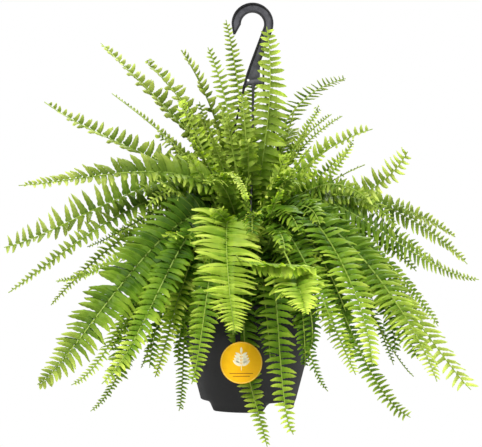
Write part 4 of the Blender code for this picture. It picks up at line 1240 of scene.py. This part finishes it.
# ---------------------------------------------------------------------------
# The young and inner leaves: thinner fronds that fill the plant between the long ones,
# hide the mix and the rim, and curl as they unroll. They grow from the same crown.
SMALL_FRONDS = (
    # the rows are laid out as those of the fronds are
    ("spur_01", "blade", (9, 7, 4), (40, 20, 92, 0, 0), (0.2, 0.35),
     (-80, -60, -345), (-130, -75, -440), (-160, -80, -521)),
    ("spur_02", "blade", (17, 6.5, 6), (30, 25, 92, 0, 0), (0.48, 0.72),
     (-90, -50, -320), (-180, -60, -358), (-283, -70, -397)),
    ("spur_03", "blade", (15, 6.5, 3.6), (50, 15, 92, 0, 0), (0.6, 0.8),
     (-80, 5, -270), (-160, 0, -305), (-245, -10, -349)),
    ("spur_04", "curly", (13, 6.5, 4.6), (60, 10, 92, 0, 0), (0.5, 0.75),
     (12, 10, -300), (62, -5, -200), (107, -10, -133)),
    ("spur_05", "curly", (13, 7, 4.6), (60, 10, 92, 0, 0), (0.58, 0.85),
     (50, 0, -310), (120, -20, -235), (153, -30, -183)),
    ("spur_06", "blade", (12, 7, 5), (20, 20, 92, 0, 0.8), (0.48, 0.85),
     (60, -20, -300), (120, -40, -250), (163, -50, -229)),
    ("spur_07", "blade", (8, 8, 4), (40, 20, 92, 0, 0), (0.2, 0.45),
     (90, -30, -340), (175, -50, -450), (233, -55, -536)),
    ("drape_01", "blade", (36, 9.2, 7.8), (25, 6, 92, 0, 0.25), (0.32, 0.5),
     (-62, -80, -315), (-95, -120, -390), (-112, -135, -470)),
    ("drape_02", "blade", (32, 9.2, 7.8), (15, 6, 92, 0, 0.25), (0.3, 0.5),
     (-50, -84, -330), (-72, -125, -400), (-80, -140, -475)),
    ("drape_03", "blade", (27, 8.8, 7), (10, 6, 92, 0, 0.2), (0.18, 0.34),
     (5, -80, -350), (16, -118, -420), (24, -124, -505)),
    ("drape_04", "blade", (27, 8.8, 7), (15, 6, 92, 0, 0.2), (0.2, 0.38),
     (35, -80, -340), (70, -118, -400), (78, -122, -495)),
    ("drape_05", "blade", (32, 9.2, 7.8), (30, 6, 92, 0, 0.2), (0.24, 0.42),
     (62, -70, -320), (110, -110, -390), (135, -120, -455)),
    ("drape_06", "blade", (32, 9.2, 7.8), (50, 6, 92, 0, 0.2), (0.24, 0.42),
     (-84, -52, -315), (-140, -85, -380), (-175, -95, -450)),
    ("drape_07", "blade", (30, 9.2, 7.4), (55, 6, 92, 0, 0.2), (0.26, 0.45),
     (80, -40, -310), (150, -70, -370), (190, -85, -440)),
    ("drape_08", "blade", (28, 9.2, 7), (50, 6, 92, 0, 0.2), (0.2, 0.36),
     (-95, -20, -320), (-150, -30, -385), (-175, -35, -450)),
    ("drape_09", "blade", (28, 9.2, 7), (50, 6, 92, 0, 0.2), (0.22, 0.36),
     (92, 0, -320), (150, -10, -380), (175, -20, -450)),
    ("drape_10", "blade", (25, 8.8, 7), (0, 6, 92, 0, 0.2), (0.2, 0.36),
     (-40, 80, -330), (-60, 120, -400), (-70, 130, -470)),
    ("drape_11", "blade", (25, 8.8, 7), (0, 6, 92, 0, 0.2), (0.2, 0.36),
     (10, 84, -330), (15, 124, -400), (15, 134, -475)),
    ("drape_12", "blade", (25, 8.8, 7), (0, 6, 92, 0, 0.2), (0.2, 0.36),
     (50, 80, -330), (72, 115, -400), (85, 125, -470)),
    ("drape_13", "blade", (25, 8.8, 7), (20, 6, 92, 0, 0.2), (0.2, 0.36),
     (-85, 45, -325), (-125, 70, -395), (-140, 80, -460)),
    ("drape_14", "blade", (25, 8.8, 7), (20, 6, 92, 0, 0.2), (0.2, 0.36),
     (85, 45, -325), (125, 70, -395), (140, 80, -460)),
    ("drape_15", "blade", (24, 7.8, 5.6), (45, 8, 90, 0, 0.1), (0.38, 0.66),
     (-85, -50, -315), (-155, -95, -405), (-202, -115, -495)),
    ("drape_16", "blade", (30, 8.4, 6.8), (45, 8, 90, 0, 0.1), (0.4, 0.68, 0.35),
     (85, -45, -310), (165, -85, -385), (232, -108, -505)),
    ("drape_17", "blade", (24, 7.8, 5.6), (45, 8, 90, 0, 0.1), (0.26, 0.5),
     (-90, -20, -300), (-170, -35, -370), (-225, -45, -450)),
    ("drape_18", "blade", (24, 7.8, 5.6), (45, 8, 90, 0, 0.1), (0.24, 0.48),
     (92, -20, -305), (180, -40, -370), (245, -50, -450)),
    ("shoulder_01", "blade", (24, 8.8, 6.4), (60, 8, 92, 0, 0.1), (0.58, 0.78),
     (-60, -30, -295), (-110, -50, -268), (-152, -70, -290)),
    ("shoulder_02", "blade", (25, 8.8, 6.6), (60, 8, 92, 0, 0.1), (0.38, 0.65),
     (50, -30, -290), (105, -50, -258), (165, -70, -280)),
    ("shoulder_03", "curly", (25, 8.4, 7), (0, 8, 92, 0, 0.1), (0.56, 0.8),
     (-30, -60, -300), (-45, -90, -250), (-62, -122, -250)),
    ("shoulder_04", "curly", (25, 8.4, 7), (0, 8, 92, 0, 0.1), (0.3, 0.55),
     (25, -60, -300), (45, -95, -255), (62, -125, -260)),
    ("shoulder_05", "blade", (20, 8.8, 6), (45, 8, 92, 0, 0.1), (0.56, 0.76),
     (-70, 10, -290), (-125, 10, -270), (-166, 5, -296)),
    ("shoulder_06", "blade", (27, 8.8, 7), (45, 8, 92, 0, 0.1), (0.34, 0.65),
     (60, 10, -285), (125, 5, -264), (188, 0, -298)),
    ("tuft_01", "blade", (21, 7.8, 5.2), (10, 10, 88, 0, 0.1), (0.42, 0.72, 0.2),
     (20, -10, -270), (45, -15, -200), (63, -20, -142)),
    ("tuft_02", "curly", (19, 7.6, 5.8), (30, 14, 88, 0, 0.1), (0.48, 0.82, 0.2),
     (25, 5, -280), (60, 5, -215), (84, 0, -168)),
    ("tuft_03", "blade", (16, 7, 3.8), (40, 12, 88, 0, 0), (0.4, 0.7),
     (30, 20, -270), (80, 30, -195), (136, 30, -152)),
    ("tuft_04", "blade", (24, 8.2, 5.4), (0, 12, 88, 0, 0.1), (0.4, 0.7, 0.2),
     (15, 20, -260), (28, 35, -180), (37, 40, -120)),
    ("tuft_05", "curly", (21, 8, 6.2), (0, 12, 88, 0, 0.2), (0.42, 0.74, 0.25),
     (-5, -40, -270), (-10, -65, -190), (-16, -75, -128)),
    ("tuft_06", "blade", (22, 8, 5.6), (20, 12, 88, 0, 0.2), (0.46, 0.78, 0.25),
     (-15, -40, -270), (-32, -60, -200), (-46, -70, -142)),
    ("tuft_07", "curly", (22, 8, 6.2), (30, 16, 88, 0, 0.1), (0.44, 0.74, 0.25),
     (-30, 20, -260), (-60, 30, -190), (-80, 30, -130)),
    ("tuft_08", "blade", (22, 8, 6), (30, 16, 88, 0, 0.1), (0.46, 0.62, 0.25),
     (-40, -20, -280), (-78, -30, -210), (-104, -30, -160)),
    ("tuft_09", "curly", (22, 8, 6.2), (40, 16, 88, 0, 0.1), (0.4, 0.7, 0.25),
     (-50, 10, -290), (-95, 10, -230), (-128, 10, -180)),
    ("tuft_10", "blade", (24, 8, 5.8), (50, 14, 88, 0, 0.1), (0.46, 0.84, 0.2),
     (50, 10, -300), (105, 10, -240), (142, 5, -205)),
    ("tuft_11", "curly", (20, 8, 6), (20, 14, 88, 0, 0.2), (0.5, 0.86, 0.25),
     (30, -50, -290), (60, -85, -235), (82, -105, -205)),
    ("spur_08", "curly", (13, 7.5, 5.6), (50, 10, 90, 0, 0.1), (0.3, 0.62, 0.3, 2.4, 0.2),
     (78, -44, -305), (215, -85, -395), (262, -100, -460)),
    ("fold_01", "blade", (16, 4.4, 8.6), (130, 50, 90, 0, 0), (0.62, 0.94, 0.8, 3, 0.78),
     (-8, -110, -335), (-2, -235, -366), (43, -262, -368), (78, -262, -372)),
    ("shoulder_07", "blade", (25, 8.8, 6.8), (50, 10, 90, 0, 0.1), (0.36, 0.66),
     (60, -22, -295), (130, -38, -274), (208, -52, -322)),
    ("tuft_17", "blade", (24, 8.2, 5.8), (0, 12, 88, 0, 0.1), (0.42, 0.72, 0.25),
     (0, 10, -260), (0, 15, -180), (1, 15, -100)),
    ("drape_21", "blade", (30, 8.4, 7.4), (45, 8, 90, 0, 0.1), (0.32, 0.62, 0.5, 2.2, 0.2),
     (-85, -45, -320), (-160, -80, -425), (-194, -95, -535)),
    ("drape_22", "blade", (22, 8.4, 6.8), (15, 6, 92, 0, 0.2), (0.32, 0.56, 0.3, 2.2, 0.2),
     (-66, -66, -320), (-94, -98, -410), (-106, -106, -508)),
    ("drape_23", "blade", (22, 8.4, 6.8), (25, 6, 92, 0, 0.2), (0.24, 0.5, 0.3, 2.2, 0.2),
     (68, -58, -320), (118, -92, -410), (138, -100, -508)),
    ("spur_09", "blade", (24, 9.4, 6), (58, 8, 90, 0, 0.1), (0.26, 0.6, 0.15, 2, 0.2),
     (88, -12, -290), (190, -20, -318), (262, -30, -372)),
    ("drape_24", "blade", (22, 8.4, 6.8), (30, 6, 92, 0, 0.2), (0.42, 0.62, 0.35, 2.2, 0.25),
     (-75, -60, -320), (-122, -95, -410), (-146, -105, -518)),
    ("drape_25", "blade", (24, 8.4, 6.8), (45, 8, 90, 0, 0.1), (0.26, 0.5, 0.35, 2.2, 0.25),
     (88, -40, -310), (168, -66, -390), (203, -80, -500)),
    ("spur_10", "blade", (22, 9.2, 7), (58, 8, 90, 0, 0.1), (0.28, 0.62, 0.15, 2, 0.25),
     (88, -30, -305), (170, -40, -330), (238, -48, -384)),
    ("tuft_18", "curly", (22, 8, 6), (40, 14, 88, 0, 0.1), (0.5, 0.8, 0.25),
     (40, -10, -290), (85, -20, -230), (112, -25, -192)),
    ("tuft_19", "curly", (20, 9, 7.5), (0, 12, 88, 0, 0.2), (0.5, 0.74, 0.3, 2.2, 0.35),
     (-25, -70, -305), (-50, -118, -256), (-64, -148, -260)),
    ("drape_19", "blade", (17, 8, 7), (0, 6, 92, 0, 0.2), (0.12, 0.26, 0.3, 2.6, 0.3),
     (-22, -84, -345), (-28, -117, -405), (-28, -121, -470)),
    ("drape_20", "blade", (21, 8, 7.2), (10, 6, 92, 0, 0.2), (0.12, 0.34, 0.15, 2.6, 0.3),
     (50, -70, -345), (66, -102, -410), (73, -104, -516)),
    ("tuft_13", "curly", (20, 9.5, 8), (20, 12, 88, 0, 0.2), (0.26, 0.5, 0.3, 2.2, 0.4),
     (20, -70, -330), (45, -125, -300), (62, -165, -325)),
    ("tuft_14", "curly", (20, 9.5, 8), (0, 12, 88, 0, 0.2), (0.14, 0.3, 0.3, 2.2, 0.4),
     (-2, -75, -325), (-2, -140, -300), (-2, -190, -328)),
    ("tuft_15", "curly", (20, 9.5, 8), (0, 12, 88, 0, 0.2), (0.36, 0.58, 0.3, 2.2, 0.4),
     (20, -80, -350), (34, -150, -325), (42, -200, -350)),
    ("tuft_16", "curly", (20, 9.5, 8), (30, 12, 88, 0, 0.2), (0.38, 0.62, 0.3, 2.2, 0.4),
     (35, -60, -320), (70, -115, -290), (91, -160, -316)),
    ("tuft_12", "curly", (20, 8, 6), (10, 14, 88, 0, 0.3), (0.46, 0.8, 0.25),
     (-30, -55, -280), (-50, -95, -215), (-58, -120, -195)),
)
for leaf_name, form, pinna_size, pose, finish, *points in SMALL_FRONDS:
    make_frond("leaf_" + leaf_name, form, pinna_size, pose, finish, points, SMALL_USUAL, unruly=1.5)

# The inner leaves stand in rings round the middle, steep there and lower further out.
INNER_RINGS = (
    # count, steepest and flattest climb in degrees, shortest and longest in millimetres
    (16, 84, 70, 280, 350),
    (20, 72, 55, 250, 325),
    (20, 55, 36, 210, 280),
    (18, 42, 14, 125, 190),
)
inner_chance = random.Random(5)
inner_draw = inner_chance.uniform
inner_number = 0
for ring_count, steep, flat, shortest, longest in INNER_RINGS:
    for place_in_ring in range(ring_count):
        inner_number += 1
        bearing = 2 * pi * (place_in_ring + inner_draw(-0.35, 0.35)) / ring_count
        climb = radians(inner_draw(flat, steep))
        length = inner_draw(shortest, longest) * (0.90 - 0.15 * cos(bearing))
        drop = radians(inner_draw(3, 16))
        points = []
        for share, angle in ((0.50, climb), (0.78, climb - drop * 0.4), (1.0, climb - drop)):
            points.append((
                CROWN_CENTRE.x * 1000 + share * length * cos(angle) * cos(bearing),
                CROWN_CENTRE.y * 1000 + share * length * cos(angle) * sin(bearing),
                CROWN_CENTRE.z * 1000 + share * length * sin(angle),
            ))
        tone_base = inner_draw(0.18, 0.50)
        pinna_size = (inner_draw(16, 26), inner_draw(7.5, 9.5), inner_draw(5.2, 7.4))
        pose = (inner_draw(-80, 80), inner_draw(0, 34), 84, 0, inner_draw(0.0, 0.35))
        finish = (tone_base, tone_base + inner_draw(0.32, 0.55), inner_draw(0.15, 0.4), 2.0)
        form = inner_chance.choice(("blade", "curly", "curly"))
        inner_name = f"leaf_inner_{inner_number:02d}"
        make_frond(inner_name, form, pinna_size, pose, finish, points, SMALL_USUAL, unruly=2.8)


# ---------------------------------------------------------------------------
# The room: a plain pale floor below the basket, and soft white light all round.
FLOOR_Z = -1.5
bm = bmesh.new()
bmesh.ops.create_grid(bm, x_segments=8, y_segments=8, size=4.0)
bmesh.ops.translate(bm, verts=bm.verts, vec=(0.0, 0.0, FLOOR_Z))
floor_mesh = bpy.data.meshes.new("floor")
bm.to_mesh(floor_mesh)
bm.free()
floor_paint, floor_tree, floor_shader = new_material("floor paint")
floor_noise = add_node(floor_tree, "ShaderNodeTexNoise", Scale=3.0, Detail=2.0).outputs[0]
floor_colour = pick_colour(floor_tree, floor_noise, (0.3, (0.86, 0.86, 0.86)), (0.7, (0.88, 0.88, 0.88)))
join(floor_tree, floor_colour, floor_shader.inputs["Base Color"])
join(floor_tree, 0.9, floor_shader.inputs["Roughness"])
floor_mesh.materials.append(floor_paint)
floor = bpy.data.objects.new("floor", floor_mesh)
bpy.context.scene.collection.objects.link(floor)

world = bpy.data.worlds.new("studio")
world.use_nodes = True
world_tree = world.node_tree
room_light = world_tree.nodes["Background"]
join(world_tree, (1.0, 1.0, 0.97, 1.0), room_light.inputs["Color"])
join(world_tree, 0.19, room_light.inputs["Strength"])
backdrop = add_node(world_tree, "ShaderNodeBackground", Color=(1.0, 1.0, 1.0, 1.0), Strength=1.0)
seen = add_node(world_tree, "ShaderNodeLightPath").outputs["Is Camera Ray"]
shown = add_node(world_tree, "ShaderNodeMixShader", i0=seen, i1=room_light.outputs[0], i2=backdrop.outputs[0])
world_tree.links.new(shown.outputs[0], world_tree.nodes["World Output"].inputs["Surface"])
bpy.context.scene.world = world
bpy.context.scene.view_settings.view_transform = "Standard"

LIGHTS = (
    # name, place, aimed at, size, watts
    ("key", (-0.8, -1.8, 1.8), (0.0, 0.0, -0.30), 0.8, 118.0),
    ("fill", (2.2, -1.8, 0.2), (0.0, 0.0, -0.35), 1.2, 26.0),
    ("back", (0.5, 1.6, 1.7), (0.0, 0.0, -0.25), 1.2, 105.0),
)
for light_name, light_place, light_aim, light_size, light_watts in LIGHTS:
    light_data = bpy.data.lights.new(light_name, "AREA")
    light_data.shape = "DISK"
    light_data.size = light_size
    light_data.energy = light_watts
    light = bpy.data.objects.new(light_name, light_data)
    light.location = light_place
    light.rotation_euler = (Vector(light_aim) - Vector(light_place)).to_track_quat("-Z", "Y").to_euler()
    bpy.context.scene.collection.objects.link(light)
